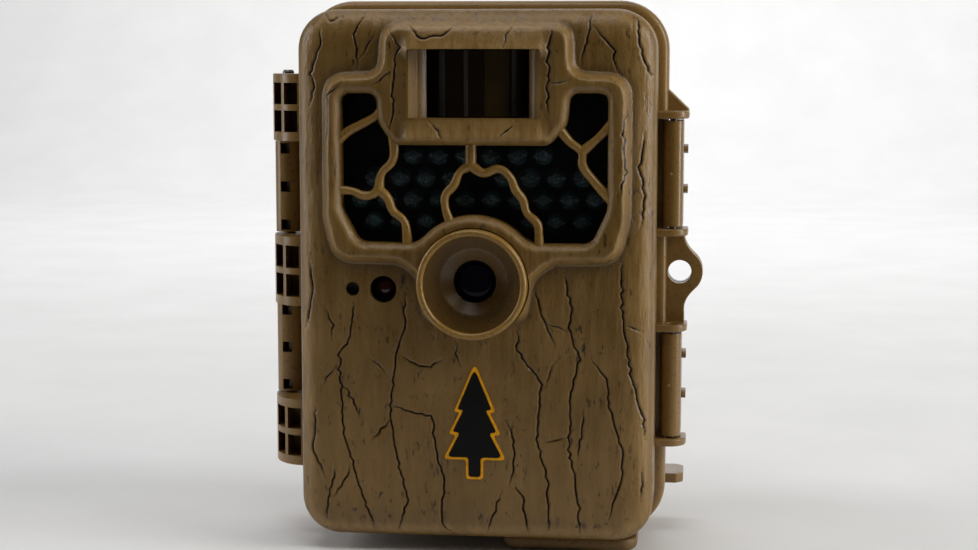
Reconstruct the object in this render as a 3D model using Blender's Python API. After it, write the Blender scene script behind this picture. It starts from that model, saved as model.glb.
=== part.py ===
"""Trail camera: a hinged two-part case for strapping to a tree.

Frame: +Z up, the lens looks along -Y, +X to the right seen from the front.
The origin is the bottom centre of the whole camera, on the plane where door and case meet.
"""

import math

import bmesh
import bpy
from mathutils import Matrix, Vector

MM = 0.001
GAP = 0.3 * MM                      # clearance between pieces that touch

# ---------------------------------------------------------------- driving dimensions
COVER_HALF_W = 45.0 * MM            # bark cover, outside
COVER_BOTTOM = 4.0 * MM
COVER_TOP = 138.0 * MM
COVER_CORNER_R = 10.0 * MM
FACE_Y = -30.0 * MM                 # plane of the cover's front face
WALL = 2.2 * MM

RIM_PROUD = 2.7 * MM                # how far the joint rims stand out round the cover
RIM_FRONT_Y = -4.7 * MM             # front face of the door's rim
SPLIT = GAP                         # door ends at -SPLIT, case starts at +SPLIT
SET_BACK = 0.45 * MM                # side plates stop short of the joint plane by this much
CASE_RIM_BACK_Y = 5.0 * MM
CASE_BACK_Y = 26.0 * MM
SILL_FRONT_Y = -6.5 * MM

HINGE_X = -53.2 * MM                # hinge axis, on the joint plane
KNUCKLE_R = 3.7 * MM
HINGE_PIN_R = 1.5 * MM
HINGE_BORE_R = 1.8 * MM
KNUCKLE_EDGES = [18.7 * MM, 36.5 * MM, 61.1 * MM, 79.5 * MM, 104.2 * MM, 121.9 * MM]

LATCH_X = 49.0 * MM                 # latch pivot
LATCH_Y = -7.3 * MM
LATCH_R = 2.6 * MM
LATCH_PIN_R = 1.0 * MM
LATCH_BORE_R = 1.3 * MM
FLANGE_T = 2.0 * MM
FLANGE_Z = [25.4 * MM, 55.4 * MM, 80.2 * MM, 110.4 * MM]    # undersides of the four flanges
EAR_HOLE = (50.9 * MM, 70.4 * MM)
EAR_HOLE_R = 3.1 * MM
EAR_REACH_X = 56.9 * MM

RIDGE_Y = -33.5 * MM                # top of the raised ridge round the windows
FRAME_Y = -35.0 * MM                # top of the frame round the motion sensor
WINDOW_Y = -27.5 * MM               # front of the infrared window
LENS_AXIS = (0.0, 70.0 * MM)
LENS_RING_R = 13.8 * MM
LENS_RING_Y = -36.0 * MM
PIR_CENTRE = (0.8 * MM, 119.6 * MM)
PIR_HALF_W = 16.2 * MM
PIR_HALF_H = 8.5 * MM
LED_BOARD_Y = -19.0 * MM
LED_R = 2.4 * MM

CELL_R = 7.1 * MM
CELL_LEN = 50.0 * MM
CELL_Y = 12.2 * MM
CELL_PITCH = 15.0 * MM
CELL_ROW_Z = [15.0 * MM, 66.6 * MM]
TRAY_BOTTOM = 8.0 * MM
TRAY_TOP = 121.0 * MM

BRACKET_Y = CASE_BACK_Y + GAP
BRACKET_PLATE_T = 2.5 * MM
BRACKET_REACH_Y = 36.0 * MM


# ---------------------------------------------------------------- materials
def material(name, rgb, roughness, metallic=0.0):
    made = bpy.data.materials.new(name)
    made.use_nodes = True
    shader = made.node_tree.nodes["Principled BSDF"]
    shader.inputs["Base Color"].default_value = (*rgb, 1.0)
    shader.inputs["Roughness"].default_value = roughness
    shader.inputs["Metallic"].default_value = metallic
    return made


def clear_scene():
    for leftover in list(bpy.data.objects):
        bpy.data.objects.remove(leftover)


clear_scene()
BARK = material("bark_cover", (0.16, 0.11, 0.05), 0.55)
BROWN = material("brown_plastic", (0.20, 0.13, 0.05), 0.45)
BLACK = material("black_plastic", (0.01, 0.01, 0.01), 0.35)
SMOKE = material("smoked_window", (0.005, 0.006, 0.008), 0.1)
GLASS = material("lens_glass", (0.02, 0.02, 0.03), 0.05)
STEEL = material("steel", (0.6, 0.6, 0.6), 0.3, 1.0)
BRASS = material("brass", (0.7, 0.5, 0.2), 0.3, 1.0)
BOARD = material("circuit_board", (0.02, 0.12, 0.05), 0.5)
RUBBER = material("rubber", (0.02, 0.02, 0.02), 0.8)
CELL = material("battery_sleeve", (0.05, 0.05, 0.06), 0.35)
GREY = material("grey_plastic", (0.25, 0.25, 0.25), 0.5)
CARD = material("card_plastic", (0.03, 0.05, 0.12), 0.4)


# ---------------------------------------------------------------- mesh helpers
def finish_object(name, bm, paint, smooth=False):
    """Turns a bmesh into an object with outward faces."""
    bmesh.ops.recalc_face_normals(bm, faces=bm.faces)
    mesh = bpy.data.meshes.new(name)
    bm.to_mesh(mesh)
    bm.free()
    if smooth:
        mesh.shade_smooth()
        mesh.set_sharp_from_angle(angle=math.radians(35))
    made = bpy.data.objects.new(name, mesh)
    bpy.context.scene.collection.objects.link(made)
    if paint is not None:
        mesh.materials.append(paint)
    return made


def stack_rings(bm, rings, cap=True):
    """Bridges rings of equal length, one after another, and caps both ends."""
    loops = [[bm.verts.new(p) for p in ring] for ring in rings]
    count = len(loops[0])
    for near, far in zip(loops, loops[1:]):
        for i in range(count):
            j = (i + 1) % count
            bm.faces.new((near[i], near[j], far[j], far[i]))
    if cap:
        bm.faces.new(loops[0])
        bm.faces.new(loops[-1])


def prism_y(name, outline, y0, y1, paint=None):
    """An (x, z) outline carried from y0 to y1."""
    bm = bmesh.new()
    stack_rings(bm, [[(x, y, z) for x, z in outline] for y in (y0, y1)])
    return finish_object(name, bm, paint)


def prism_z(name, outline, z0, z1, paint=None):
    """An (x, y) outline carried from z0 to z1."""
    bm = bmesh.new()
    stack_rings(bm, [[(x, y, z) for x, y in outline] for z in (z0, z1)])
    return finish_object(name, bm, paint)


def prism_x(name, outline, x0, x1, paint=None):
    """A (y, z) outline carried from x0 to x1."""
    bm = bmesh.new()
    stack_rings(bm, [[(x, y, z) for y, z in outline] for x in (x0, x1)])
    return finish_object(name, bm, paint)


def add_box(bm, low, high):
    size = Vector(high) - Vector(low)
    centre = (Vector(high) + Vector(low)) / 2
    bmesh.ops.create_cube(bm, size=1, matrix=Matrix.LocRotScale(centre, None, size))


def boxes(name, pairs, paint=None):
    """One object that holds a box for each (low corner, high corner) pair."""
    bm = bmesh.new()
    for low, high in pairs:
        add_box(bm, low, high)
    return finish_object(name, bm, paint)


AXIS_TURN = {
    "x": Matrix.Rotation(math.pi / 2, 4, "Y"),
    "y": Matrix.Rotation(-math.pi / 2, 4, "X"),
    "z": Matrix.Identity(4),
}


def rod(name, axis, start, length, radius, paint=None, sides=20):
    """A round bar that runs from start along +axis."""
    bm = bmesh.new()
    bmesh.ops.create_cone(
        bm, cap_ends=True, segments=sides, radius1=radius, radius2=radius, depth=length,
        matrix=Matrix.Translation((0, 0, length / 2)))
    bm.transform(Matrix.Translation(start) @ AXIS_TURN[axis])
    return finish_object(name, bm, paint, smooth=True)


def turned_y(name, centre, profile, paint, sides=32):
    """A closed (radius, y) profile spun round a line along Y through centre (x, z)."""
    bm = bmesh.new()
    rings = []
    for i in range(sides):
        a = 2 * math.pi * i / sides
        rings.append([
            bm.verts.new((centre[0] + r * math.cos(a), y, centre[1] + r * math.sin(a)))
            for r, y in profile])
    for i in range(sides):
        here, there = rings[i], rings[(i + 1) % sides]
        for k in range(len(profile)):
            m = (k + 1) % len(profile)
            bm.faces.new((here[k], here[m], there[m], there[k]))
    return finish_object(name, bm, paint, smooth=True)


def arc(cx, cy, radius, start_deg, end_deg, steps, radius_y=None):
    """Points on an arc, ends included."""
    ry = radius if radius_y is None else radius_y
    found = []
    for i in range(steps + 1):
        a = math.radians(start_deg + (end_deg - start_deg) * i / steps)
        found.append((cx + radius * math.cos(a), cy + ry * math.sin(a)))
    return found


def rounded_rect(x0, x1, z0, z1, radius, steps=5):
    return (
        arc(x1 - radius, z0 + radius, radius, -90, 0, steps)
        + arc(x1 - radius, z1 - radius, radius, 0, 90, steps)
        + arc(x0 + radius, z1 - radius, radius, 90, 180, steps)
        + arc(x0 + radius, z0 + radius, radius, 180, 270, steps))


def case_outline(inset, steps=5):
    """The cover's outline, drawn in by inset (a negative inset stands proud)."""
    return rounded_rect(
        -COVER_HALF_W + inset, COVER_HALF_W - inset, COVER_BOTTOM + inset, COVER_TOP - inset,
        max(COVER_CORNER_R - inset, 1.5 * MM), steps)


def case_solid(name, stations, paint=None):
    """The cover's outline stacked through (y, inset) stations."""
    bm = bmesh.new()
    stack_rings(bm, [[(x, y, z) for x, z in case_outline(inset)] for y, inset in stations])
    return finish_object(name, bm, paint)


def combine(target, tool, operation):
    """Joins or cuts target with tool, which stays in the file as a hidden helper."""
    step = target.modifiers.new(tool.name, "BOOLEAN")
    step.operation = operation
    step.object = tool
    tool.hide_render = True
    tool.display_type = "WIRE"
    return target


def join(target, *tools):
    for tool in tools:
        combine(target, tool, "UNION")
    return target


def cut(target, *tools):
    for tool in tools:
        combine(target, tool, "DIFFERENCE")
    return target


def ribbon(name, path, half_width, y0, y1):
    """A bar of constant width along an open (x, z) path, from y0 to y1."""
    left, right = [], []
    for i, point in enumerate(path):
        before = Vector(path[max(i - 1, 0)])
        after = Vector(path[min(i + 1, len(path) - 1)])
        along = (after - before).normalized()
        side = Vector((-along.y, along.x)) * half_width
        left.append(tuple(Vector(point) + side))
        right.append(tuple(Vector(point) - side))
    return prism_y(name, left + right[::-1], y0, y1)


def in_mm(points):
    return [(x * MM, z * MM) for x, z in points]


# ---------------------------------------------------------------- window shapes of the cover
# Outer edge of the raised ridge, right half, from the top centre down to the lens ring.
RIDGE_RIGHT = in_mm([
    (0, 135), (18, 135), (21.5, 133.6), (23.2, 130), (23.8, 124.5), (26, 122.6), (33, 122.4),
    (37, 120.3), (38.6, 116.5), (38.6, 92), (37.2, 84), (33.4, 78), (27, 75.2), (20, 74.6),
    (15.5, 71.5), (13, 66)])
# Inner edge of the ridge, right half: the light opening below and beside the sensor frame.
OPENING_RIGHT = in_mm([
    (0, 104.2), (17, 104.2), (21, 106.2), (23.6, 109.8), (24.2, 115.4), (25.8, 117.2),
    (31.5, 117.2), (33.6, 115), (33.6, 90.5), (31.6, 84.2), (27.5, 80.4), (17.5, 80.4),
    (13.6, 82), (8, 85), (0, 85.9)])
# The moulded branches that cross the opening, as (x, z) centre lines.
BRANCHES = [
    in_mm([(-34.4, 105), (-31, 108), (-27.2, 109.9), (-24.4, 111.6), (-22, 114)]),
    in_mm([(-20.2, 106), (-20.3, 100.4), (-23.2, 97), (-23.8, 93)]),
    in_mm([(-35, 92.9), (-30, 92.9), (-27.4, 91.8), (-24.8, 92.6), (-23.8, 93)]),
    in_mm([(-24.4, 93.4), (-21.6, 91.2), (-20.2, 88), (-17.2, 85), (-16.6, 78.6)]),
    in_mm([(-0.6, 105.4), (-0.6, 99.2)]),
    in_mm([(0.2, 99.6), (-3.4, 97.4), (-4.8, 94.4), (-7, 91.8), (-7, 88.4), (-5.4, 84.2)]),
    in_mm([(-1.4, 99.4), (2.6, 97.8), (6.8, 98.4), (9.2, 96.6), (10.6, 93.6), (12.4, 91), (13.6, 87.6),
           (16.2, 84.6), (16.4, 78.6)]),
    in_mm([(21.4, 108.2), (24, 105.4), (26.9, 102.8), (27, 100), (29.4, 96.4), (34.8, 90.4)]),
    in_mm([(34.4, 110.2), (30.6, 106), (26.9, 102.4)]),
]
BRANCH_HALF_W = 1.1 * MM


def mirrored(half):
    """A full outline from its right half."""
    return half + [(-x, z) for x, z in reversed(half) if abs(x) > 1e-9]


# ---------------------------------------------------------------- front cover
def make_front_cover():
    back_y = RIM_FRONT_Y - GAP
    cover = case_solid(
        "front_cover",
        [(FACE_Y, 3.2 * MM), (-29.3 * MM, 1.5 * MM), (-28 * MM, 0.5 * MM), (-26 * MM, 0.0), (back_y, 0.0)],
        BARK)
    cavity = case_solid("cover_cavity", [(FACE_Y + WALL, 3 * MM), (-26 * MM, WALL), (0.0, WALL)])
    ridge = prism_y("cover_ridge", mirrored(RIDGE_RIGHT), RIDGE_Y, FACE_Y + 1 * MM)
    cx, cz = PIR_CENTRE
    frame = prism_y(
        "cover_sensor_frame",
        rounded_rect(cx - 18.5 * MM, cx + 18.5 * MM, cz - 13 * MM, cz + 13 * MM, 3 * MM, 3),
        FRAME_Y, FACE_Y + 0.5 * MM)
    opening = prism_y("cover_opening", mirrored(OPENING_RIGHT), -40 * MM, -20 * MM)
    pir_hole = boxes("cover_pir_hole", [(
        (cx - PIR_HALF_W, -40 * MM, cz - PIR_HALF_H), (cx + PIR_HALF_W, -20 * MM, cz + PIR_HALF_H))])
    lens_hole = rod("cover_lens_hole", "y", (LENS_AXIS[0], -40 * MM, LENS_AXIS[1]), 20 * MM,
                    LENS_RING_R + GAP, sides=32)
    sensor_hole = rod("cover_sensor_hole", "y", (-23 * MM, -34 * MM, 68 * MM), 10 * MM, 3.4 * MM)
    mic_hole = rod("cover_mic_hole", "y", (-30.8 * MM, -34 * MM, 68 * MM), 10 * MM, 1.75 * MM, sides=14)
    port_hole = boxes("cover_port_hole", [((9 * MM, -22.3 * MM, 0.0), (38 * MM, -11.2 * MM, 8 * MM))])
    cut(cover, cavity)
    join(cover, ridge, frame)
    cut(cover, opening, pir_hole, lens_hole, sensor_hole, mic_hole, port_hole)
    for number, path in enumerate(BRANCHES):
        join(cover, ribbon(f"cover_branch_{number}", path, BRANCH_HALF_W, -32.6 * MM, -29 * MM))
    return cover


# ---------------------------------------------------------------- optics and electronics in the door
def make_lens_shroud():
    """Stepped cone that shades the lens: the steps go in by equal treads."""
    steps = 7
    outer_r, inner_r = 11.6 * MM, 7.8 * MM
    start_y, end_y = -35.4 * MM, -31.2 * MM
    profile = [(16 * MM, -24.6 * MM), (16 * MM, -25.6 * MM), (LENS_RING_R, -25.6 * MM),
               (LENS_RING_R, -35.3 * MM), (13.2 * MM, LENS_RING_Y),
               (12.2 * MM, LENS_RING_Y)]
    for i in range(steps):
        r = outer_r + (inner_r - outer_r) * i / (steps - 1)
        y = start_y + (end_y - start_y) * i / (steps - 1)
        step_y = (end_y - start_y) / (steps - 1)
        profile += [(r, y), (r, y + 0.7 * step_y)]
    profile += [(5.4 * MM, -27.6 * MM), (5.4 * MM, -26.8 * MM),
                (7.6 * MM, -26.2 * MM), (7.6 * MM, -24.6 * MM)]
    turned_y("lens_shroud", LENS_AXIS, profile, BROWN)


def make_camera_module():
    x, z = LENS_AXIS
    bm = bmesh.new()
    dome = ((1.2 * MM, -27.2 * MM), (2.8 * MM, -26.8 * MM), (4.3 * MM, -25.8 * MM), (4.3 * MM, -25.1 * MM))
    stack_rings(bm, [[(px, y, pz) for px, pz in arc(x, z, r, 0, 342, 19)] for r, y in dome])
    finish_object("lens_glass", bm, GLASS, smooth=True)
    barrel = rod("lens_barrel", "y", (x, -25.9 * MM, z), 12.2 * MM, 7.2 * MM, BLACK)
    cut(barrel, rod("barrel_bore", "y", (x, -27 * MM, z), 5.6 * MM, 4.6 * MM))
    boxes("camera_board", [((x - 13 * MM, -13.4 * MM, z - 13 * MM), (x + 13 * MM, -12.2 * MM, z + 13 * MM))],
          BOARD)


def led_places():
    """Staggered rows of emitters behind the window, as (x, z)."""
    pitch, row_step, top_z = 6.65 * MM, 5.65 * MM, 101.4 * MM
    rows = [
        [-2.5, -1.5, -0.5, 0.5, 1.5, 2.5],
        [-4, -3, -2, -1, 1, 2, 3, 4],
        [-4.5, -3.5, -2.5, -1.5, -0.5, 0.5, 1.5, 2.5, 3.5, 4.5],
        [-4, -3, -2, 2, 3, 4],
    ]
    return [(column * pitch, top_z - row * row_step)
            for row, columns in enumerate(rows) for column in columns]


def make_led_array():
    board = boxes("ir_led_array", [
        ((-36 * MM, LED_BOARD_Y, 78 * MM), (36 * MM, LED_BOARD_Y + 1.4 * MM, 132 * MM))], BOARD)
    barrel_gap = rod("board_barrel_hole", "y", (0, -24 * MM, LENS_AXIS[1]), 10 * MM, 10.5 * MM)
    bm = bmesh.new()
    for x, z in led_places():
        rings = []
        for radius, y in ((LED_R, LED_BOARD_Y + 0.5 * MM), (LED_R, -24.4 * MM), (1.7 * MM, -25.4 * MM)):
            rings.append([(px, y, pz) for px, pz in arc(x, z, radius, 0, 315, 7)])
        stack_rings(bm, rings)
    emitters = finish_object("emitters", bm, None)
    cut(board, barrel_gap)
    join(board, emitters)


def make_windows():
    x, z = PIR_CENTRE
    window = prism_y("ir_window", rounded_rect(-36 * MM, 36 * MM, 77.8 * MM, 132 * MM, 4 * MM, 2),
                     WINDOW_Y, WINDOW_Y + 1.5 * MM, SMOKE)
    sensor_gap = boxes("window_sensor_gap", [
        ((x - 17.5 * MM, -30 * MM, z - 10.2 * MM), (x + 17.5 * MM, -20 * MM, z + 10.2 * MM))])
    shroud_gap = rod("window_shroud_gap", "y", (0, -30 * MM, LENS_AXIS[1]), 10 * MM,
                     LENS_RING_R + GAP, sides=32)
    cut(window, sensor_gap, shroud_gap)
    # Motion lens: a strip of an upright cylinder that bows towards the front.
    outer = arc(x, -7.4 * MM, 22 * MM, -142, -38, 14)
    inner = arc(x, -7.4 * MM, 21 * MM, -38, -142, 14)
    prism_z("pir_lens", outer + inner, z - PIR_HALF_H + GAP, z + PIR_HALF_H - GAP, SMOKE)
    rod("pir_sensor", "y", (x, LED_BOARD_Y - 4 * MM - GAP, z), 4 * MM, 4.6 * MM, STEEL)
    rod("light_sensor", "y", (-23 * MM, -27.4 * MM, 68 * MM), 5 * MM, 2.5 * MM, SMOKE, sides=16)
    rod("microphone", "y", (-30.8 * MM, -27.4 * MM, 68 * MM), 3 * MM, 3 * MM, BLACK, sides=16)


def make_main_board():
    board = boxes("main_board", [((-38 * MM, -9.4 * MM, 12 * MM), (38 * MM, -8 * MM, 131 * MM))], BOARD)
    parts = boxes("board_parts", [
        ((-14 * MM, -11 * MM, 88 * MM), (0 * MM, -8.6 * MM, 102 * MM)),
        ((8 * MM, -10.6 * MM, 90 * MM), (18 * MM, -8.6 * MM, 100 * MM)),
        ((-33 * MM, -11.4 * MM, 24 * MM), (-22 * MM, -8.6 * MM, 35 * MM)),
        ((-8 * MM, -12 * MM, 22 * MM), (0 * MM, -8.6 * MM, 36 * MM)),
        ((20 * MM, -11 * MM, 108 * MM), (32 * MM, -8.6 * MM, 122 * MM))])
    switches = boxes("board_switches", [
        ((x * MM - 2.5 * MM, -9 * MM, z * MM - 2.5 * MM), (x * MM + 2.5 * MM, -6.5 * MM, z * MM + 2.5 * MM))
        for x, z in BUTTONS.values()])
    join(board, parts, switches)
    ports = boxes("port_block", [((10 * MM, -21.8 * MM, 4.5 * MM), (37 * MM, -12.3 * MM, 14 * MM))], BLACK)
    sockets = boxes("port_sockets", [
        ((12 * MM, -19.5 * MM, 0), (20 * MM, -15.5 * MM, 10 * MM)),
        ((23 * MM, -19 * MM, 0), (27 * MM, -15 * MM, 10 * MM)),
        ((30 * MM, -19.6 * MM, 0), (35 * MM, -14.6 * MM, 10 * MM))])
    cut(ports, sockets)


# ---------------------------------------------------------------- door frame
def arm_profile():
    """Hinge arm seen from above: a quarter oval from the cover's side back to the pin."""
    front = arc(-47 * MM, 0, 9.9 * MM, 270, 183, 8, radius_y=14 * MM)
    barrel = arc(HINGE_X, 0, KNUCKLE_R, 175, 30, 8)
    return [(-45.4 * MM, -14 * MM)] + front + barrel + [(-48.8 * MM, -SPLIT), (-45.4 * MM, -SPLIT)]


def make_door_frame():
    frame = case_solid("door_frame", [(RIM_FRONT_Y, -RIM_PROUD), (-SPLIT, -RIM_PROUD)], BROWN)
    spigot_inset = WALL + GAP
    spigot = case_solid("frame_spigot", [(-12 * MM, spigot_inset), (-3 * MM, spigot_inset)])
    well = case_solid("frame_well", [(-14 * MM, 4.4 * MM), (1 * MM, 4.4 * MM)])
    join(frame, spigot)
    cut(frame, well)

    clear = COVER_HALF_W + GAP
    flange = ([(clear, -11 * MM)] + arc(48.4 * MM, -6.4 * MM, 4.6 * MM, -90, 0, 5)
              + [(53 * MM, -SPLIT), (46 * MM, -SPLIT),
                 (46 * MM, RIM_FRONT_Y + 1 * MM), (clear, RIM_FRONT_Y + 1 * MM)])
    for number, low in enumerate(FLANGE_Z):
        join(frame, prism_z(f"frame_flange_{number}", flange, low, low + FLANGE_T))
    join(frame, prism_y("frame_ear", ear_outline(), -3.4 * MM, -SET_BACK))
    join(frame, prism_y("frame_gusset", gusset_outline(), -3.4 * MM, -SET_BACK))

    for number in (0, 2, 4):
        low, high = KNUCKLE_EDGES[number] + GAP / 2, KNUCKLE_EDGES[number + 1] - GAP / 2
        join(frame, prism_z(f"frame_arm_{number}", arm_profile(), low, high))
    cut(frame, boxes("frame_arm_windows", arm_windows()))
    cut(frame,
        rod("frame_pin_bore", "z", (HINGE_X, 0, 0), 140 * MM, HINGE_BORE_R),
        rod("frame_ear_hole", "y", (EAR_HOLE[0], -10 * MM, EAR_HOLE[1]), 20 * MM, EAR_HOLE_R),
        rod("frame_latch_bore", "z", (LATCH_X, LATCH_Y, 20 * MM), 96 * MM, LATCH_BORE_R, sides=16))
    return frame


def make_hinge_pin():
    """Steel pin, pressed into the door's arms and free in the case's knuckles."""
    overhang = 0.8 * MM
    low, high = KNUCKLE_EDGES[0] - overhang, KNUCKLE_EDGES[-1] + overhang
    rod("hinge_pin", "z", (HINGE_X, 0, low), high - low, HINGE_PIN_R, STEEL)


def arm_windows():
    """Moulded pockets in each hinge arm: two high, two wide."""
    pairs = []
    for number in (0, 2, 4):
        low, high = KNUCKLE_EDGES[number] + 2.2 * MM, KNUCKLE_EDGES[number + 1] - 2.2 * MM
        middle = (low + high) / 2
        for z0, z1 in ((low, middle - 0.9 * MM), (middle + 0.9 * MM, high)):
            pairs.append(((-55.4 * MM, -20 * MM, z0), (-52.7 * MM, 0.5 * MM, z1)))
            pairs.append(((-51.6 * MM, -20 * MM, z0), (-48.4 * MM, -4 * MM, z1)))
    return pairs


def ear_outline():
    """Padlock ear between the two middle flanges."""
    x, z = EAR_HOLE
    low, high = FLANGE_Z[1] + 0.5 * MM, FLANGE_Z[2] + FLANGE_T - 0.5 * MM
    reach = EAR_REACH_X - x
    return ([(46 * MM, low), (52.4 * MM, low), (52.9 * MM, low + 5.5 * MM)]
            + arc(x, z, reach, -48, 48, 10)
            + [(52.9 * MM, high - 5.5 * MM), (52.4 * MM, high), (46 * MM, high)])


def gusset_outline():
    """Web above the top flange that carries it back to the rim."""
    low = FLANGE_Z[3] + 0.5 * MM
    return [(46 * MM, low), (53 * MM, low), (53 * MM, low + 1.8 * MM), (47.5 * MM, low + 7 * MM),
            (46 * MM, low + 7 * MM)]


# ---------------------------------------------------------------- inside of the door
BUTTONS = {
    "button_up": (18, 57), "button_down": (18, 37), "button_left": (8, 47), "button_right": (28, 47),
    "button_enter": (18, 47), "button_menu": (30, 60)}
BUTTON_HALF = 3.2 * MM
SWITCH_PLACE = (-20 * MM, 62 * MM)
CARD_X = (-32 * MM, -8 * MM)


def make_inner_panel():
    panel = case_solid("inner_panel", [(-3.4 * MM, 4.7 * MM), (-1.2 * MM, 4.7 * MM)], GREY)
    cut(panel, boxes("panel_display_hole", [((-19 * MM, -6 * MM, 76 * MM), (19 * MM, 2 * MM, 104 * MM))]))
    holes = []
    for x, z in BUTTONS.values():
        half = BUTTON_HALF + GAP
        holes.append(((x * MM - half, -6 * MM, z * MM - half), (x * MM + half, 2 * MM, z * MM + half)))
    x, z = SWITCH_PLACE
    holes.append(((x - 5.2 * MM, -6 * MM, z - 1.8 * MM), (x + 5.2 * MM, 2 * MM, z + 1.8 * MM)))
    holes.append(((CARD_X[0] - 2 * MM, -6 * MM, 14 * MM), (CARD_X[1] + 2 * MM, 2 * MM, 31 * MM)))
    holes.append(((-36.5 * MM, -6 * MM, 112 * MM), (-27.5 * MM, 2 * MM, 116 * MM)))
    cut(panel, boxes("panel_holes", holes))
    boxes("lcd_display", [((-21 * MM, -6 * MM, 74 * MM), (21 * MM, -3.7 * MM, 106 * MM))], SMOKE)
    for name, (x, z) in BUTTONS.items():
        cap = prism_y(name, rounded_rect(x * MM - BUTTON_HALF, x * MM + BUTTON_HALF, z * MM - BUTTON_HALF,
                                         z * MM + BUTTON_HALF, 1.4 * MM, 2), -5.6 * MM, -0.7 * MM, BLACK)
        foot = 4.2 * MM
        join(cap, boxes(f"{name}_foot", [((x * MM - foot, -5.6 * MM, z * MM - foot),
                                          (x * MM + foot, -3.7 * MM, z * MM + foot))]))
    knob = boxes("power_switch", [
        ((-1.6 * MM, -4.9 * MM, -1.4 * MM), (1.6 * MM, -0.8 * MM, 1.4 * MM))], BLACK)
    knob.location = (SWITCH_PLACE[0] - 3.2 * MM, 0, SWITCH_PLACE[1])
    x0, x1 = CARD_X
    socket = boxes("sd_socket", [
        ((x0 - 2 * MM, -7.7 * MM, 28.5 * MM), (x1 + 2 * MM, -3.9 * MM, 55 * MM))], STEEL)
    cut(socket, boxes("socket_slot", [
        ((x0 - 0.6 * MM, -7.1 * MM, 20 * MM), (x1 + 0.6 * MM, -4.4 * MM, 53.5 * MM))]))
    boxes("sd_card", [((x0, -6.8 * MM, 20.3 * MM), (x1, -4.7 * MM, 51.5 * MM))], CARD)
    pins = boxes("door_contacts", [
        ((-36 * MM, -5 * MM, 112.4 * MM), (-28 * MM, -1.4 * MM, 115.6 * MM))], BLACK)
    tips = boxes("contact_tips", [
        ((cx * MM, -2 * MM, 113.2 * MM), (cx * MM + 1.4 * MM, 0.3 * MM, 114.8 * MM))
        for cx in (-35, -32.7, -30.4)])
    join(pins, tips)
    for number, (x, z) in enumerate(((-35, 128), (35, 128), (-35, 12), (35, 12)), 1):
        make_screw(f"panel_screw_{number}", (x * MM, -0.9 * MM, z * MM), panel)


def make_screw(name, place, host):
    """Pan head screw whose head faces +Y, with the hole that it passes through cut in host."""
    x, y, z = place
    head = rod(name, "y", (x, y, z), 1.2 * MM, 2.4 * MM, STEEL, sides=14)
    join(head, rod(f"{name}_shank", "y", (x, y - 4 * MM, z), 4.4 * MM, 1.2 * MM, sides=10))
    cross = boxes(f"{name}_cross", [
        ((x - 1.5 * MM, y + 0.6 * MM, z - 0.3 * MM), (x + 1.5 * MM, y + 2 * MM, z + 0.3 * MM))])
    slot = boxes(f"{name}_slot", [
        ((x - 0.3 * MM, y + 0.6 * MM, z - 1.5 * MM), (x + 0.3 * MM, y + 2 * MM, z + 1.5 * MM))])
    cut(head, cross, slot)
    cut(host, rod(f"{name}_hole", "y", (x, y - 8 * MM, z), 10 * MM, 1.5 * MM, sides=10))


# ---------------------------------------------------------------- port flap and latches
FLAP_AXIS = (0.0, -9.6 * MM, 2.2 * MM)          # the flap's living hinge runs along X


def make_port_cover():
    flap = prism_z("port_cover", rounded_rect(6.4 * MM, 41 * MM, -24 * MM, -8.7 * MM, 3.5 * MM, 4),
                   0.9 * MM, COVER_BOTTOM - 0.4 * MM, RUBBER)
    belly = prism_z("flap_belly", rounded_rect(8 * MM, 39.4 * MM, -22.4 * MM, -10.3 * MM, 3 * MM, 4),
                    0.3 * MM, 2 * MM)
    join(flap, belly)
    return flap


def latch_outline():
    """Lever seen from above: pivot barrel at the front, flat arm, nose behind the keeper."""
    barrel = arc(LATCH_X, LATCH_Y, LATCH_R, 75, 360, 14)
    return barrel + [
        (51.6 * MM, 6.4 * MM), (50.6 * MM, 7 * MM), (48.8 * MM, 7 * MM), (48.8 * MM, 4.3 * MM),
        (50 * MM, 4.3 * MM), (50 * MM, -4.6 * MM)]


def make_latch(name, low, high, rib_heights):
    latch = prism_z(name, latch_outline(), low, high, BROWN)
    ribs = []
    for z in rib_heights:
        ribs.append(prism_x(f"{name}_rib_{round(z / MM)}",
                            arc(0, z, 4.5 * MM, 0, 330, 11, radius_y=1.2 * MM), 51 * MM, 52.8 * MM))
    join(latch, *ribs)
    cut(latch, rod(f"{name}_bore", "z", (LATCH_X, LATCH_Y, low - 5 * MM), high - low + 10 * MM, LATCH_BORE_R,
                   sides=16))


def make_latches():
    spans = ((FLANGE_Z[0] + FLANGE_T, FLANGE_Z[1]), (FLANGE_Z[2] + FLANGE_T, FLANGE_Z[3]))
    for name, (low, high), ribs in zip(
            ("latch_lower", "latch_upper"), spans, ((38 * MM, 48.6 * MM), (92 * MM, 102.4 * MM))):
        make_latch(name, low + 0.5 * MM, high - 0.5 * MM, ribs)
        rod(f"{name.replace('latch', 'latch_pin')}", "z", (LATCH_X, LATCH_Y, low - FLANGE_T + GAP),
            high - low + 2 * FLANGE_T - 2 * GAP, LATCH_PIN_R, STEEL, sides=12)


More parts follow.
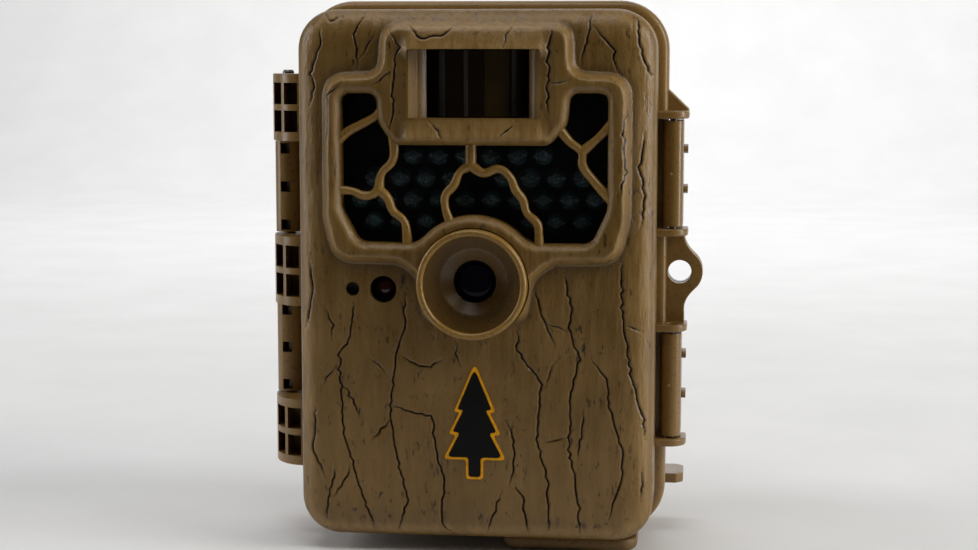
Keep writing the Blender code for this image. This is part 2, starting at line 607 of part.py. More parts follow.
# ---------------------------------------------------------------- rear case
def make_rear_case():
    case = case_solid("rear_case", [(SPLIT, -RIM_PROUD), (CASE_RIM_BACK_Y, -RIM_PROUD)], BROWN)
    body = case_solid("case_body", [
        (3 * MM, 0.0), (20 * MM, 0.6 * MM), (24 * MM, 1.8 * MM), (25.6 * MM, 3.8 * MM),
        (CASE_BACK_Y, 5.5 * MM)])
    base = prism_z("case_base", rounded_rect(-34 * MM, 34 * MM, SILL_FRONT_Y, 24 * MM, 3 * MM, 3), 0.0, 1 * MM)
    plinth = prism_z("case_plinth", rounded_rect(-34 * MM, 34 * MM, 2 * MM, 23 * MM, 3 * MM, 3), 0.5 * MM, 7 * MM)
    join(case, body, base, plinth)
    cavity = case_solid("case_cavity", [(-1 * MM, 3 * MM), (22 * MM, 3.4 * MM), (23.4 * MM, 5 * MM)])
    cut(case, cavity)
    seal_groove(case)

    join(case, prism_y("case_ear", ear_outline(), SET_BACK, 3.4 * MM))
    join(case, prism_y("case_gusset", gusset_outline(), SET_BACK, 3.4 * MM))
    keepers = boxes("case_keepers", [
        ((46 * MM, SET_BACK, 31 * MM), (48.4 * MM, 3.8 * MM, 52 * MM)),
        ((46 * MM, SET_BACK, 86 * MM), (48.4 * MM, 3.8 * MM, 107 * MM))])
    tab = prism_z("case_tab", [
        (44 * MM, 9 * MM), (50.6 * MM, 9 * MM), (52.4 * MM, 11 * MM), (52.4 * MM, 20 * MM), (50.6 * MM, 22 * MM),
        (44 * MM, 22 * MM)], 11.4 * MM, 14 * MM)
    join(case, keepers, tab)
    for number in (1, 3):
        low, high = KNUCKLE_EDGES[number] + GAP, KNUCKLE_EDGES[number + 1] - GAP
        leaf = arc(HINGE_X, 0, KNUCKLE_R, 90, 350, 12) + [
            (-49.5 * MM, SET_BACK), (-46 * MM, SET_BACK), (-46 * MM, KNUCKLE_R)]
        join(case, prism_z(f"case_knuckle_{number}", leaf, low, high))
    cut(case, boxes("case_knuckle_windows", knuckle_windows()))
    cut(case,
        rod("case_pin_bore", "z", (HINGE_X, 0, 0), 140 * MM, HINGE_BORE_R),
        rod("case_ear_hole", "y", (EAR_HOLE[0], -10 * MM, EAR_HOLE[1]), 20 * MM, EAR_HOLE_R),
        rod("case_tripod_hole", "z", (0, 14 * MM, -1 * MM), 7.4 * MM, 4.8 * MM))
    return case


def seal_groove(case):
    ring = case_solid("groove_outer", [(-1 * MM, -0.9 * MM), (2 * MM, -0.9 * MM)])
    cut(ring, case_solid("groove_inner", [(-2 * MM, 1.4 * MM), (3 * MM, 1.4 * MM)]))
    cut(case, ring)
    seal = case_solid("case_seal", [(-0.1 * MM, -0.6 * MM), (1.7 * MM, -0.6 * MM)], RUBBER)
    cut(seal, case_solid("seal_inner", [(-2 * MM, 1 * MM), (3 * MM, 1 * MM)]))


def knuckle_windows():
    """Three small square openings up each case knuckle."""
    pairs = []
    for number in (1, 3):
        low, high = KNUCKLE_EDGES[number], KNUCKLE_EDGES[number + 1]
        for z0 in (low + 0.6 * MM, (low + high) / 2 - 1.5 * MM, high - 3.6 * MM):
            pairs.append(((-54.8 * MM, -6 * MM, z0), (-52.2 * MM, -0.5 * MM, z0 + 3 * MM)))
    return pairs


def make_tripod_insert():
    insert = rod("tripod_insert", "z", (0, 14 * MM, 0.1 * MM), 6 * MM, 4.5 * MM, BRASS)
    cut(insert, rod("insert_bore", "z", (0, 14 * MM, -1 * MM), 6.2 * MM, 3.1 * MM))


# ---------------------------------------------------------------- batteries
def cell_places():
    columns = [(i - 1.5) * CELL_PITCH for i in range(4)]
    return [(x, z) for z in CELL_ROW_Z for x in columns]


def make_batteries():
    tray = boxes("battery_tray", [((-32.5 * MM, 4 * MM, TRAY_BOTTOM), (32.5 * MM, 21.6 * MM, TRAY_TOP))], GREY)
    hollow = boxes("tray_hollow", [
        ((-30.8 * MM, 0, TRAY_BOTTOM + 1.8 * MM), (30.8 * MM, 19.8 * MM, 65.8 * MM - GAP)),
        ((-30.8 * MM, 0, 66.4 * MM - GAP), (30.8 * MM, 19.8 * MM, TRAY_TOP - 1.8 * MM))])
    cut(tray, hollow)
    for number, (x, z) in enumerate(cell_places(), 1):
        bm = bmesh.new()
        profile = ((CELL_R, z), (CELL_R, z + CELL_LEN - 1.2 * MM), (2.7 * MM, z + CELL_LEN - 1.1 * MM),
                   (2.7 * MM, z + CELL_LEN))
        stack_rings(bm, [[(px, py, level) for px, py in arc(x, CELL_Y, r, 0, 337.5, 15)] for r, level in profile])
        finish_object(f"battery_{number}", bm, CELL, smooth=True)
        if number <= 4:
            make_spring(f"contact_spring_{number}", x, TRAY_BOTTOM + 3.1 * MM, z - GAP)
    boxes("contact_strip_lower", [
        ((-29.5 * MM, 6 * MM, TRAY_BOTTOM + 2.1 * MM), (29.5 * MM, 18 * MM, TRAY_BOTTOM + 2.7 * MM))], STEEL)
    boxes("contact_strip_upper", [
        ((-29.5 * MM, 6 * MM, TRAY_TOP - 2.9 * MM), (29.5 * MM, 18 * MM, TRAY_TOP - 2.2 * MM))], STEEL)
    boxes("case_contacts", [((-41.6 * MM, 0.6 * MM, 110 * MM), (-33.2 * MM, 6 * MM, 118 * MM))], BRASS)


def make_spring(name, x, low, high):
    """Tapering coil between the strip and the cell's foot."""
    turns, per_turn, wire_r = 2.5, 10, 0.4 * MM
    curve = bpy.data.curves.new(name, "CURVE")
    curve.dimensions = "3D"
    curve.bevel_depth = wire_r
    curve.bevel_resolution = 0
    curve.use_fill_caps = True
    count = round(turns * per_turn)
    line = curve.splines.new("POLY")
    line.points.add(count)
    for i in range(count + 1):
        share = i / count
        a = 2 * math.pi * turns * share
        r = (4.4 - 1.6 * share) * MM
        z = low + wire_r + (high - low - 2 * wire_r) * share
        line.points[i].co = (x + r * math.cos(a), CELL_Y + r * math.sin(a), z, 1)
    curve.materials.append(STEEL)
    bpy.context.scene.collection.objects.link(bpy.data.objects.new(name, curve))


# ---------------------------------------------------------------- tree bracket
def make_bracket():
    plate = prism_y("tree_bracket", rounded_rect(-26 * MM, 26 * MM, 20 * MM, 122 * MM, 5 * MM, 4),
                    BRACKET_Y, BRACKET_Y + BRACKET_PLATE_T, BROWN)
    teeth = 12
    low, high = 22 * MM, 120 * MM
    pitch = (high - low) / teeth
    edge = [(BRACKET_Y + 1 * MM, low)]
    for i in range(teeth):
        foot = low + i * pitch
        edge += [(BRACKET_REACH_Y - 1.6 * MM, foot), (BRACKET_REACH_Y, foot + 0.3 * pitch),
                 (BRACKET_REACH_Y, foot + 0.7 * pitch)]
    edge += [(BRACKET_REACH_Y - 1.6 * MM, high), (BRACKET_Y + 1 * MM, high)]
    for side in (-1, 1):
        x0, x1 = sorted((side * 15 * MM, side * 19.5 * MM))
        join(plate, prism_x(f"bracket_rib_{side}", edge, x0, x1))
    slot_y0, slot_y1 = BRACKET_Y + BRACKET_PLATE_T - 0.2 * MM, 33.6 * MM
    slots = boxes("bracket_slots", [
        ((-30 * MM, slot_y0, 32 * MM), (30 * MM, slot_y1, 58 * MM)),
        ((-30 * MM, slot_y0, 66 * MM), (30 * MM, slot_y1, 76 * MM)),
        ((-30 * MM, slot_y0, 84 * MM), (30 * MM, slot_y1, 110 * MM))])
    cut(plate, slots)
    for number, (x, z) in enumerate(((-8, 28), (8, 28), (-8, 114), (8, 114)), 1):
        make_screw(f"bracket_screw_{number}", (x * MM, BRACKET_Y + BRACKET_PLATE_T + 0.3 * MM, z * MM), plate)
        cut(bpy.data.objects["rear_case"],
            rod(f"case_screw_hole_{number}", "y", (x * MM, 20 * MM, z * MM), 10 * MM, 1.5 * MM, sides=10))


# ---------------------------------------------------------------- joints
def axis_empty(name, place):
    """An empty on a joint's axis."""
    made = bpy.data.objects.new(name, None)
    made.empty_display_size = 5 * MM
    made.location = place
    bpy.context.scene.collection.objects.link(made)
    return made


def carry(axis, pieces):
    """Hangs pieces on an axis empty, where they stand."""
    for piece in pieces:
        piece.parent = axis
        piece.matrix_parent_inverse = Matrix.Translation(axis.location).inverted()
        carry(axis, [step.object for step in piece.modifiers])


def hang_door(pieces):
    """The door swings on its pin, and its own small pieces move on or in it."""
    door = axis_empty("door_axis", (HINGE_X, 0, 0))
    carry(door, pieces)
    places = {
        "latch_upper": (LATCH_X, LATCH_Y, FLANGE_Z[2]),
        "latch_lower": (LATCH_X, LATCH_Y, FLANGE_Z[0]),
        "port_cover": FLAP_AXIS,
        "power_switch": (SWITCH_PLACE[0], 0, SWITCH_PLACE[1]),
        "sd_card": ((CARD_X[0] + CARD_X[1]) / 2, 0, 0)}
    for name, (x, z) in BUTTONS.items():
        places[name] = (x * MM, 0, z * MM)
    for name, place in places.items():
        own = axis_empty(f"{name}_axis", place)
        carry(door, [own])
        carry(own, [bpy.data.objects[name]])


make_front_cover()
make_lens_shroud()
make_camera_module()
make_led_array()
make_windows()
make_main_board()
make_door_frame()
make_hinge_pin()
make_inner_panel()
make_port_cover()
make_latches()
hang_door(list(bpy.data.objects))

make_rear_case()
make_tripod_insert()
make_batteries()
make_bracket()
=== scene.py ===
"""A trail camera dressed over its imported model: a brown moulded case that straps to a tree."""

import math

import bmesh
import bpy
import numpy as np
from mathutils import Matrix, Vector


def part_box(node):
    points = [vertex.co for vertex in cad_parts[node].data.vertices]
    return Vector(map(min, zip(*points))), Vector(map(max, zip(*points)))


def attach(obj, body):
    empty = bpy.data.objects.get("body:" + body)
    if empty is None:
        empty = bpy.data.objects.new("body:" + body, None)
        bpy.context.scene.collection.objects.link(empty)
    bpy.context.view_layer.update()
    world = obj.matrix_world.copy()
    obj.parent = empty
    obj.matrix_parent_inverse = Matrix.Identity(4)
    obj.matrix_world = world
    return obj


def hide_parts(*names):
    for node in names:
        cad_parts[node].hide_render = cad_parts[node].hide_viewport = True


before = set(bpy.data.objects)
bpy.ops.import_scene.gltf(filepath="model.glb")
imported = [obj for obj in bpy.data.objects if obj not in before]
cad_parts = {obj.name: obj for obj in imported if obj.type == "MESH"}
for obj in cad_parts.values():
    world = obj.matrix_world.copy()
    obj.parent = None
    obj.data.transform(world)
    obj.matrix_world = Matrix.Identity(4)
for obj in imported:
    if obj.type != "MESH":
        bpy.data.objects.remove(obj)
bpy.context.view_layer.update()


# ---------------------------------------------------------------------------------------
# Rear case: the deep half that holds the battery tray. It is injection moulded in brown
# nylon, with a rounded bead all round its mouth, a groove for the seal in the mouth's
# face, and two of the hinge's five knuckles on its left side.
MM = 0.001


def span(node):
    """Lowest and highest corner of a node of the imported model, in millimetres."""
    low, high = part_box(node)
    return low / MM, high / MM


cover_low, cover_high = span("front_cover")
pin_low, pin_high = span("hinge_pin")
HALF_W = cover_high.x
LOW, HIGH = cover_low.z, cover_high.z
CORNER_R = 10.0
BEAD_PROUD = 2.6
HINGE_X = (pin_low.x + pin_high.x) / 2
HINGE_BORE_R = 1.85
KNUCKLE_R = 3.7
KNUCKLE_EDGES = (18.7, 36.5, 61.1, 79.5, 104.2, 121.9)
EAR_HOLE = (50.9, 70.4)
EAR_REACH = 6.0
CASE_LEAF, DOOR_LEAF = (0.45, 3.4), (-3.4, -0.45)


def arc(cx, cy, radius, start, end, steps, radius_b=None):
    """Points on an arc, in degrees, both ends included."""
    rb = radius if radius_b is None else radius_b
    turn = [math.radians(start + (end - start) * i / steps) for i in range(steps + 1)]
    return [(cx + radius * math.cos(a), cy + rb * math.sin(a)) for a in turn]


def case_outline(inset):
    """The case's rounded rectangle in (x, z), drawn in by inset, always with as many points."""
    radius = max(CORNER_R - inset, 1.0)
    x, low, high = HALF_W - inset, LOW + inset, HIGH - inset
    corners = ((x - radius, low + radius), (x - radius, high - radius),
               (radius - x, high - radius), (radius - x, low + radius))
    points = []
    for side, (cx, cz) in enumerate(corners):
        bend = arc(cx, cz, radius, 90 * side - 90, 90 * side, 12)
        ahead = arc(*corners[(side + 1) % 4], radius, 90 * side, 90 * side, 1)[0]
        parts = (24, 16)[side % 2]
        last = bend[-1]
        points += bend + [(last[0] + (ahead[0] - last[0]) * k / parts,
                           last[1] + (ahead[1] - last[1]) * k / parts) for k in range(1, parts)]
    return points


def loft(bm, rings, closed=False):
    """Skins rings of equal length. The ends are capped, or joined if the loft is closed."""
    loops = [[bm.verts.new(Vector(point) * MM) for point in ring] for ring in rings]
    pairs = list(zip(loops, loops[1:]))
    if closed:
        pairs.append((loops[-1], loops[0]))
    count = len(loops[0])
    for near, far in pairs:
        for i in range(count):
            j = (i + 1) % count
            bm.faces.new((near[i], near[j], far[j], far[i]))
    if not closed:
        bm.faces.new(loops[0])
        bm.faces.new(loops[-1])


def case_loft(bm, stations, closed=False):
    """The case's outline carried through (y, inset) stations."""
    loft(bm, [[(x, y, z) for x, z in case_outline(inset)] for y, inset in stations], closed)


def carried(bm, outline, start, end, axis):
    """A flat outline carried along an axis. Along y it is (x, z), along z (x, y), along x (y, z)."""
    place = {"y": lambda a, b, t: (a, t, b), "z": lambda a, b, t: (a, b, t), "x": lambda a, b, t: (t, a, b)}
    loft(bm, [[place[axis](a, b, t) for a, b in outline] for t in (start, end)])


def block(bm, low, high):
    size = (Vector(high) - Vector(low)) * MM
    centre = (Vector(high) + Vector(low)) * 0.5 * MM
    bmesh.ops.create_cube(bm, size=1, matrix=Matrix.LocRotScale(centre, None, size))


def round_bar(bm, axis, start, length, radius, sides=28):
    """A plain round bar from start along +axis, also used as a drill."""
    x, y, z = start
    ring = arc(0, 0, radius, 0, 360 - 360 / sides, sides - 1)
    if axis == "y":
        carried(bm, [(x + a, z + b) for a, b in ring], y, y + length, "y")
    elif axis == "z":
        carried(bm, [(x + a, y + b) for a, b in ring], z, z + length, "z")
    else:
        carried(bm, [(y + a, z + b) for a, b in ring], x, x + length, "x")


def to_object(name, bm):
    bmesh.ops.recalc_face_normals(bm, faces=bm.faces)
    mesh = bpy.data.meshes.new(name)
    bm.to_mesh(mesh)
    bm.free()
    made = bpy.data.objects.new(name, mesh)
    bpy.context.scene.collection.objects.link(made)
    return made


def dress(made, paint, body, slot, nodes=(), edge=0.0, sharp=40, cuts=()):
    """Cuts, softens and paints a moulded piece, and hangs it on its body for good."""
    for number, cutter in enumerate(cuts):
        tool = to_object(f"{made.name}_cutter_{number}", cutter)
        step = made.modifiers.new("cut", "BOOLEAN")
        step.operation = "DIFFERENCE"
        step.solver = "EXACT"
        step.object = tool
        graph = bpy.context.evaluated_depsgraph_get()
        cut_mesh = bpy.data.meshes.new_from_object(made.evaluated_get(graph))
        made.modifiers.clear()
        made.data = cut_mesh
        bpy.data.objects.remove(tool)
    made.data.materials.clear()
    made.data.materials.append(paint)
    made.data.shade_smooth()
    if edge:
        soft = made.modifiers.new("moulded_edges", "BEVEL")
        soft.width = edge * MM
        soft.segments = 3
        soft.limit_method = "ANGLE"
        soft.angle_limit = math.radians(33)
        soft.harden_normals = True
    else:
        made.data.set_sharp_from_angle(angle=math.radians(sharp))
    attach(made, body)
    if nodes:
        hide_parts(*nodes)
    return made


def new_finish(name):
    made = bpy.data.materials.new(name)
    made.use_nodes = True
    return made, made.node_tree, made.node_tree.nodes["Principled BSDF"]


def noise_over(tree, cycles_per_mm, detail=4.0, stretch=(1, 1, 1)):
    """Noise fixed to the piece, with its scale given per millimetre."""
    where = tree.nodes.new("ShaderNodeTexCoord")
    size = tree.nodes.new("ShaderNodeMapping")
    size.inputs["Scale"].default_value = stretch
    grain = tree.nodes.new("ShaderNodeTexNoise")
    grain.inputs["Scale"].default_value = cycles_per_mm / MM
    grain.inputs["Detail"].default_value = detail
    tree.links.new(where.outputs["Object"], size.inputs["Vector"])
    tree.links.new(size.outputs["Vector"], grain.inputs["Vector"])
    return grain.outputs["Fac"]


def ramp(tree, source, stops):
    """Colours along a value, from (position, rgb) stops."""
    made = tree.nodes.new("ShaderNodeValToRGB")
    while len(made.color_ramp.elements) < len(stops):
        made.color_ramp.elements.new(0.5)
    for element, (position, rgb) in zip(made.color_ramp.elements, stops):
        element.position = position
        element.color = (*rgb, 1.0)
    tree.links.new(source, made.inputs["Fac"])
    return made.outputs["Color"]


def remap(tree, source, from_low, from_high, low, high):
    made = tree.nodes.new("ShaderNodeMapRange")
    for key, value in zip(("From Min", "From Max", "To Min", "To Max"), (from_low, from_high, low, high)):
        made.inputs[key].default_value = value
    tree.links.new(source, made.inputs["Value"])
    return made.outputs["Result"]


def blended(tree, share, first, second):
    """Mixes two colours, each a socket or an rgb, by a share that is a socket."""
    made = tree.nodes.new("ShaderNodeMix")
    made.data_type = "RGBA"
    tree.links.new(share, made.inputs["Factor"])
    for socket, value in ((made.inputs[6], first), (made.inputs[7], second)):
        if isinstance(value, tuple):
            socket.default_value = (*value, 1.0)
        else:
            tree.links.new(value, socket)
    return made.outputs[2]


def relief(tree, shader, layers):
    """Bump from (height source, millimetres) layers, the coarse one first."""
    under = None
    for source, height in layers:
        made = tree.nodes.new("ShaderNodeBump")
        made.inputs["Distance"].default_value = height * MM
        tree.links.new(source, made.inputs["Height"])
        if under is not None:
            tree.links.new(under, made.inputs["Normal"])
        under = made.outputs["Normal"]
    tree.links.new(under, shader.inputs["Normal"])


def moulded_plastic(name, colour, vary=0.16, gloss=0.36, grain=0.03):
    """Moulded plastic: slow flow marks, a fine mould grain, dust specks and an uneven gloss."""
    made, tree, shader = new_finish(name)
    flow = noise_over(tree, 0.05, 3, (1, 1, 0.45))
    dust = noise_over(tree, 1.1, 3)
    dark = tuple(c * (1 - vary) for c in colour)
    light = tuple(min(1, c * (1 + vary)) for c in colour)
    tone = ramp(tree, flow, [(0.30, dark), (0.50, colour), (0.72, light)])
    specks = remap(tree, dust, 0.30, 0.42, 1.0, 0.0)
    dusty = blended(tree, specks, tone, tuple(c * 0.62 for c in colour))
    tree.links.new(dusty, shader.inputs["Base Color"])
    tree.links.new(remap(tree, flow, 0.3, 0.7, gloss - 0.05, gloss + 0.09), shader.inputs["Roughness"])
    relief(tree, shader, [(noise_over(tree, 0.35, 2), grain * 0.8), (noise_over(tree, 2.4, 3), grain)])
    return made


def moulded(name, outline, start, end, axis, *finish, **how):
    """A flat outline carried along an axis, as a piece of its own."""
    bm = bmesh.new()
    carried(bm, outline, start, end, axis)
    return dress(to_object(name, bm), *finish, **how)


BROWN = moulded_plastic("brown_nylon", (0.218, 0.123, 0.032), gloss=0.30)
CASE_BROWN = (BROWN, "case", "brown_plastic")
DOOR_BROWN = (BROWN, "door", "brown_plastic")

case_stations = [(23.4, 9.0), (23.4, 5.4), (22.4, 3.6), (10.0, 3.2), (0.9, 3.0), (0.4, 2.6), (0.35, 1.5),
                 (2.0, 1.4), (2.0, -0.9), (0.35, -1.0), (0.35, 0.9 - BEAD_PROUD)]
case_stations += [(y, inset) for inset, y in arc(1.5 - BEAD_PROUD, 2.65, 1.5, 255, 105, 8, 2.3)]
case_stations += [(5.0, -0.7), (5.35, 0.0), (12.0, 0.15), (20.4, 0.5)]
case_stations += [(y, inset) for inset, y in arc(5.6, 20.6, 5.1, 172, 90, 8, 5.3)]
bm = bmesh.new()
case_loft(bm, case_stations)
dress(to_object("rear_case_shell", bm), *CASE_BROWN, ["rear_case"], sharp=32)


def knuckle_windows(number):
    """Three small square openings up one knuckle."""
    low, high = KNUCKLE_EDGES[number], KNUCKLE_EDGES[number + 1]
    made = bmesh.new()
    for z in (low + 0.8, (low + high) / 2 - 1.4, high - 3.6):
        block(made, (-54.9, -6, z), (-52.3, -0.6, z + 2.8))
    return made


def pin_drill():
    made = bmesh.new()
    round_bar(made, "z", (HINGE_X, 0, 10), 120, HINGE_BORE_R)
    return made


for number in (1, 3):
    leaf = arc(HINGE_X, 0, KNUCKLE_R, 90, 350, 24) + [(-49.5, 0.5), (-44.8, 0.5), (-44.8, KNUCKLE_R)]
    low, high = KNUCKLE_EDGES[number] + 0.3, KNUCKLE_EDGES[number + 1] - 0.3
    moulded(f"case_knuckle_{number}", leaf, low, high, "z", *CASE_BROWN, edge=0.25,
            cuts=[knuckle_windows(number), pin_drill()])


def ear_outline(low=55.9, high=81.7):
    """Padlock ear: a round eye on a web between the two middle flanges."""
    eye = arc(*EAR_HOLE, EAR_REACH, -48, 48, 20)
    sides = []
    for (x, z), turn in ((eye[-1], math.radians(48)), (eye[0], math.radians(-48))):
        web_x = EAR_HOLE[0] + 1.4
        slide = (x - web_x) / abs(math.sin(turn))
        bend = Vector((web_x, z + math.copysign(slide * math.cos(turn), turn)))
        end = Vector((web_x - 0.2, bend.y + math.copysign(2.6, turn)))
        start = Vector((x, z))
        sides.append([tuple(start * (1 - t) ** 2 + bend * 2 * t * (1 - t) + end * t ** 2)
                      for t in (0.14, 0.28, 0.42, 0.56, 0.70, 0.85, 1.0)])
    return [(44.6, low), (52.2, low)] + sides[1][::-1] + eye + sides[0] + [(52.2, high), (44.6, high)]


def ear_drill():
    made = bmesh.new()
    round_bar(made, "y", (EAR_HOLE[0], -10, EAR_HOLE[1]), 20, 3.05, 40)
    return made


moulded("case_padlock_ear", ear_outline(), *CASE_LEAF, "y", *CASE_BROWN, edge=0.35, cuts=[ear_drill()])

GUSSET = [(44.6, 110.9), (52.9, 110.9), (52.9, 112.7), (47.5, 117.9), (44.6, 117.9)]
KEEPER_SPANS = ((31, 52), (86, 107))
bm = bmesh.new()
for low, high in KEEPER_SPANS:
    block(bm, (44.6, 0.5, low), (48.4, 3.8, high))
carried(bm, [(42, 9), (50.4, 9), (52.2, 10.8), (52.2, 20.2), (50.4, 22), (42, 22)], 11.4, 14.0, "z")
carried(bm, GUSSET, *CASE_LEAF, "y")
dress(to_object("case_keepers_and_tab", bm), *CASE_BROWN, edge=0.35)


def rounded_plate(x0, x1, y0, y1, radius, steps=6):
    return (arc(x1 - radius, y0 + radius, radius, -90, 0, steps)
            + arc(x1 - radius, y1 - radius, radius, 0, 90, steps)
            + arc(x0 + radius, y1 - radius, radius, 90, 180, steps)
            + arc(x0 + radius, y0 + radius, radius, 180, 270, steps))


bm = bmesh.new()
foot_plate, foot_block = rounded_plate(-34, 34, -6.5, 24, 3), rounded_plate(-34, 34, 2, 23, 3)
loft(bm, [[(x, y, z) for x, y in ring]
          for ring, z in ((foot_plate, 0.0), (foot_plate, 1.0), (foot_block, 1.0), (foot_block, 6.5))])
drill = bmesh.new()
round_bar(drill, "z", (0, 14, -1), 7.4, 4.8, 40)
dress(to_object("case_foot", bm), *CASE_BROWN, edge=0.3, cuts=[drill])

# ---------------------------------------------------------------------------------------
# Case seal: a soft black cord of rubber that lies in the groove of the case's mouth and
# is pressed by the door's rim. It stands a little proud of the groove.
SEAL_RUBBER = moulded_plastic("seal_rubber", (0.020, 0.019, 0.018), vary=0.3, gloss=0.62, grain=0.05)
bm = bmesh.new()
case_loft(bm, [(y, inset) for inset, y in arc(0.2, 0.8, 0.8, 0, 337.5, 15, 0.9)], closed=True)
dress(to_object("rubber_seal", bm), SEAL_RUBBER, "case", "seal_rubber", ["case_seal"], sharp=60)

# ---------------------------------------------------------------------------------------
# Tripod insert: a turned brass nut moulded into the foot, with a quarter inch thread that
# shows as rings down its bore.
insert_low, insert_high = span("tripod_insert")


def turned(bm, axis, centre, profile, sides):
    """A closed (radius, height) profile spun round an axis through centre."""
    rings = []
    for i in range(sides):
        a = 2 * math.pi * i / sides
        c, s = math.cos(a), math.sin(a)
        if axis == "y":
            rings.append([(centre[0] + r * c, t, centre[1] + r * s) for r, t in profile])
        else:
            rings.append([(centre[0] + r * c, centre[1] + r * s, t) for r, t in profile])
    loft(bm, rings, closed=True)


def turned_piece(name, axis, centre, profile, sides, *finish, **how):
    """One profile spun round an axis, as a piece of its own."""
    bm = bmesh.new()
    turned(bm, axis, centre, profile, sides)
    return dress(to_object(name, bm), *finish, **how)


def bare_metal(name, colour, rough=0.28, stretch=(1, 1, 8)):
    """Bare metal with drawn or turned marks, handling haze and a slight tarnish."""
    made, tree, shader = new_finish(name)
    marks = noise_over(tree, 0.5, 4, stretch)
    haze = noise_over(tree, 0.12, 3)
    tree.links.new(ramp(tree, haze, [(0.3, tuple(c * 0.72 for c in colour)), (0.6, colour)]),
                   shader.inputs["Base Color"])
    tree.links.new(remap(tree, marks, 0.3, 0.7, rough - 0.08, rough + 0.14), shader.inputs["Roughness"])
    shader.inputs["Metallic"].default_value = 1.0
    relief(tree, shader, [(marks, 0.012)])
    return made


BRASS = bare_metal("turned_brass", (0.72, 0.50, 0.19), stretch=(8, 8, 1))
STEEL = bare_metal("bright_steel", (0.56, 0.56, 0.57))
THREAD_INNER_R, THREAD_OUTER_R, THREAD_PITCH = 3.1, 3.35, 0.9
thread = []
for turn in range(6):
    z = insert_low.z + 0.5 + turn * THREAD_PITCH
    thread += [(THREAD_INNER_R, z), (THREAD_OUTER_R, z + THREAD_PITCH / 2)]
outside = [(4.0, insert_high.z), (4.45, insert_high.z - 0.4), (4.45, insert_low.z + 0.3),
           (4.2, insert_low.z)]
nut_place = ((insert_low.x + insert_high.x) / 2, (insert_low.y + insert_high.y) / 2)
turned_piece("tripod_nut", "z", nut_place,
             [(3.3, insert_low.z)] + thread + [(THREAD_INNER_R, insert_high.z)] + outside, 48,
             BRASS, "case", "brass", ["tripod_insert"])

# ---------------------------------------------------------------------------------------
# Tree bracket: a moulded plate screwed to the back, with two toothed ribs that bite the
# bark and three slots in them for the strap and a security cable.
bracket_low, bracket_high = span("tree_bracket")
plate_y0 = bracket_low.y
plate_y1 = plate_y0 + 2.5
TEETH, TOOTH_DEPTH, RIB_WIDTH = 12, 1.6, 4.5
SCREW_HOLE_R = 1.5



def face_middle(low, high):
    """The middle of a box seen from the front, in (x, z)."""
    return (low.x + high.x) / 2, (low.z + high.z) / 2


def drill_at(bm, places, start, length, radius):
    """Adds a drill along +Y at each (x, z)."""
    for x, z in places:
        round_bar(bm, "y", (x, start, z), length, radius)


tooth_low, tooth_high = bracket_low.z + 2, bracket_high.z - 2
pitch = (tooth_high - tooth_low) / TEETH
rib = [(plate_y1 - 1, tooth_low)]
for tooth in range(TEETH):
    foot = tooth_low + tooth * pitch
    rib += [(bracket_high.y - TOOTH_DEPTH, foot), (bracket_high.y, foot + 0.3 * pitch),
            (bracket_high.y, foot + 0.7 * pitch)]
rib += [(bracket_high.y - TOOTH_DEPTH, tooth_high), (plate_y1 - 1, tooth_high)]
screw_drills = bmesh.new()
bracket_screws = [span(f"bracket_screw_{number}") for number in range(1, 5)]
drill_at(screw_drills, [face_middle(*box) for box in bracket_screws], plate_y0 - 2, 8, SCREW_HOLE_R)
moulded("bracket_plate", rounded_plate(bracket_low.x, bracket_high.x, bracket_low.z, bracket_high.z, 5),
        plate_y0, plate_y1, "y", *CASE_BROWN, ["tree_bracket"], edge=0.5, cuts=[screw_drills])
for side, x0 in (("left", -19.5), ("right", 15.0)):
    slots = bmesh.new()
    for z0, z1 in ((32, 58), (66, 76), (84, 110)):
        carried(slots, rounded_plate(plate_y1 - 0.2, 33.6, z0, z1, 1.2), -30, 30, "x")
    moulded(f"bracket_rib_{side}", rib, x0, x0 + RIB_WIDTH, "x", *CASE_BROWN, edge=0.3, cuts=[slots])


def pan_head(name, low, high, body):
    """Pan head screw, turned and then struck with a cross recess. The head faces +Y."""
    x, z = face_middle(low, high)
    top, under = high.y, high.y - 1.2
    made = bmesh.new()
    ring = [(2.35, under), (2.4, under + 0.45), (2.1, under + 0.85), (1.4, top - 0.08),
            (0.5, top), (0.02, top)]
    shank = [(0.02, low.y), (0.9, low.y), (1.2, low.y + 0.5), (1.2, under)]
    turned(made, "y", (x, z), shank + ring, 36)
    cross = bmesh.new()
    block(cross, (x - 1.35, top - 0.7, z - 0.26), (x + 1.35, top + 1, z + 0.26))
    upright = bmesh.new()
    block(upright, (x - 0.26, top - 0.7, z - 1.35), (x + 0.26, top + 1, z + 1.35))
    dress(to_object(f"{name}_turned", made), STEEL, body, "steel", [name], sharp=30,
          cuts=[cross, upright])


for number, (low, high) in enumerate(bracket_screws, 1):
    pan_head(f"bracket_screw_{number}", low, high, "case")

# ---------------------------------------------------------------------------------------
# Batteries: eight AA cells in two rows of four in a grey tray. Four wire springs press on
# the lower row, and plated steel strips join the cells at both ends.
GREY = moulded_plastic("grey_plastic", (0.115, 0.117, 0.120), vary=0.10, gloss=0.5, grain=0.05)
CELL_ROW_STEP, CELL_FOOT_Z, CELL_LENGTH = 51.6, 15.0, 50.0
CELL_SLEEVE, tree, shader = new_finish("cell_sleeve")
where = tree.nodes.new("ShaderNodeTexCoord")
height = tree.nodes.new("ShaderNodeSeparateXYZ")
tree.links.new(where.outputs["Object"], height.inputs["Vector"])
row = tree.nodes.new("ShaderNodeMath")
row.operation = "MODULO"
row.inputs[1].default_value = CELL_ROW_STEP * MM
shift = tree.nodes.new("ShaderNodeMath")
shift.operation = "SUBTRACT"
shift.inputs[1].default_value = CELL_FOOT_Z * MM
tree.links.new(height.outputs["Z"], shift.inputs[0])
tree.links.new(shift.outputs[0], row.inputs[0])
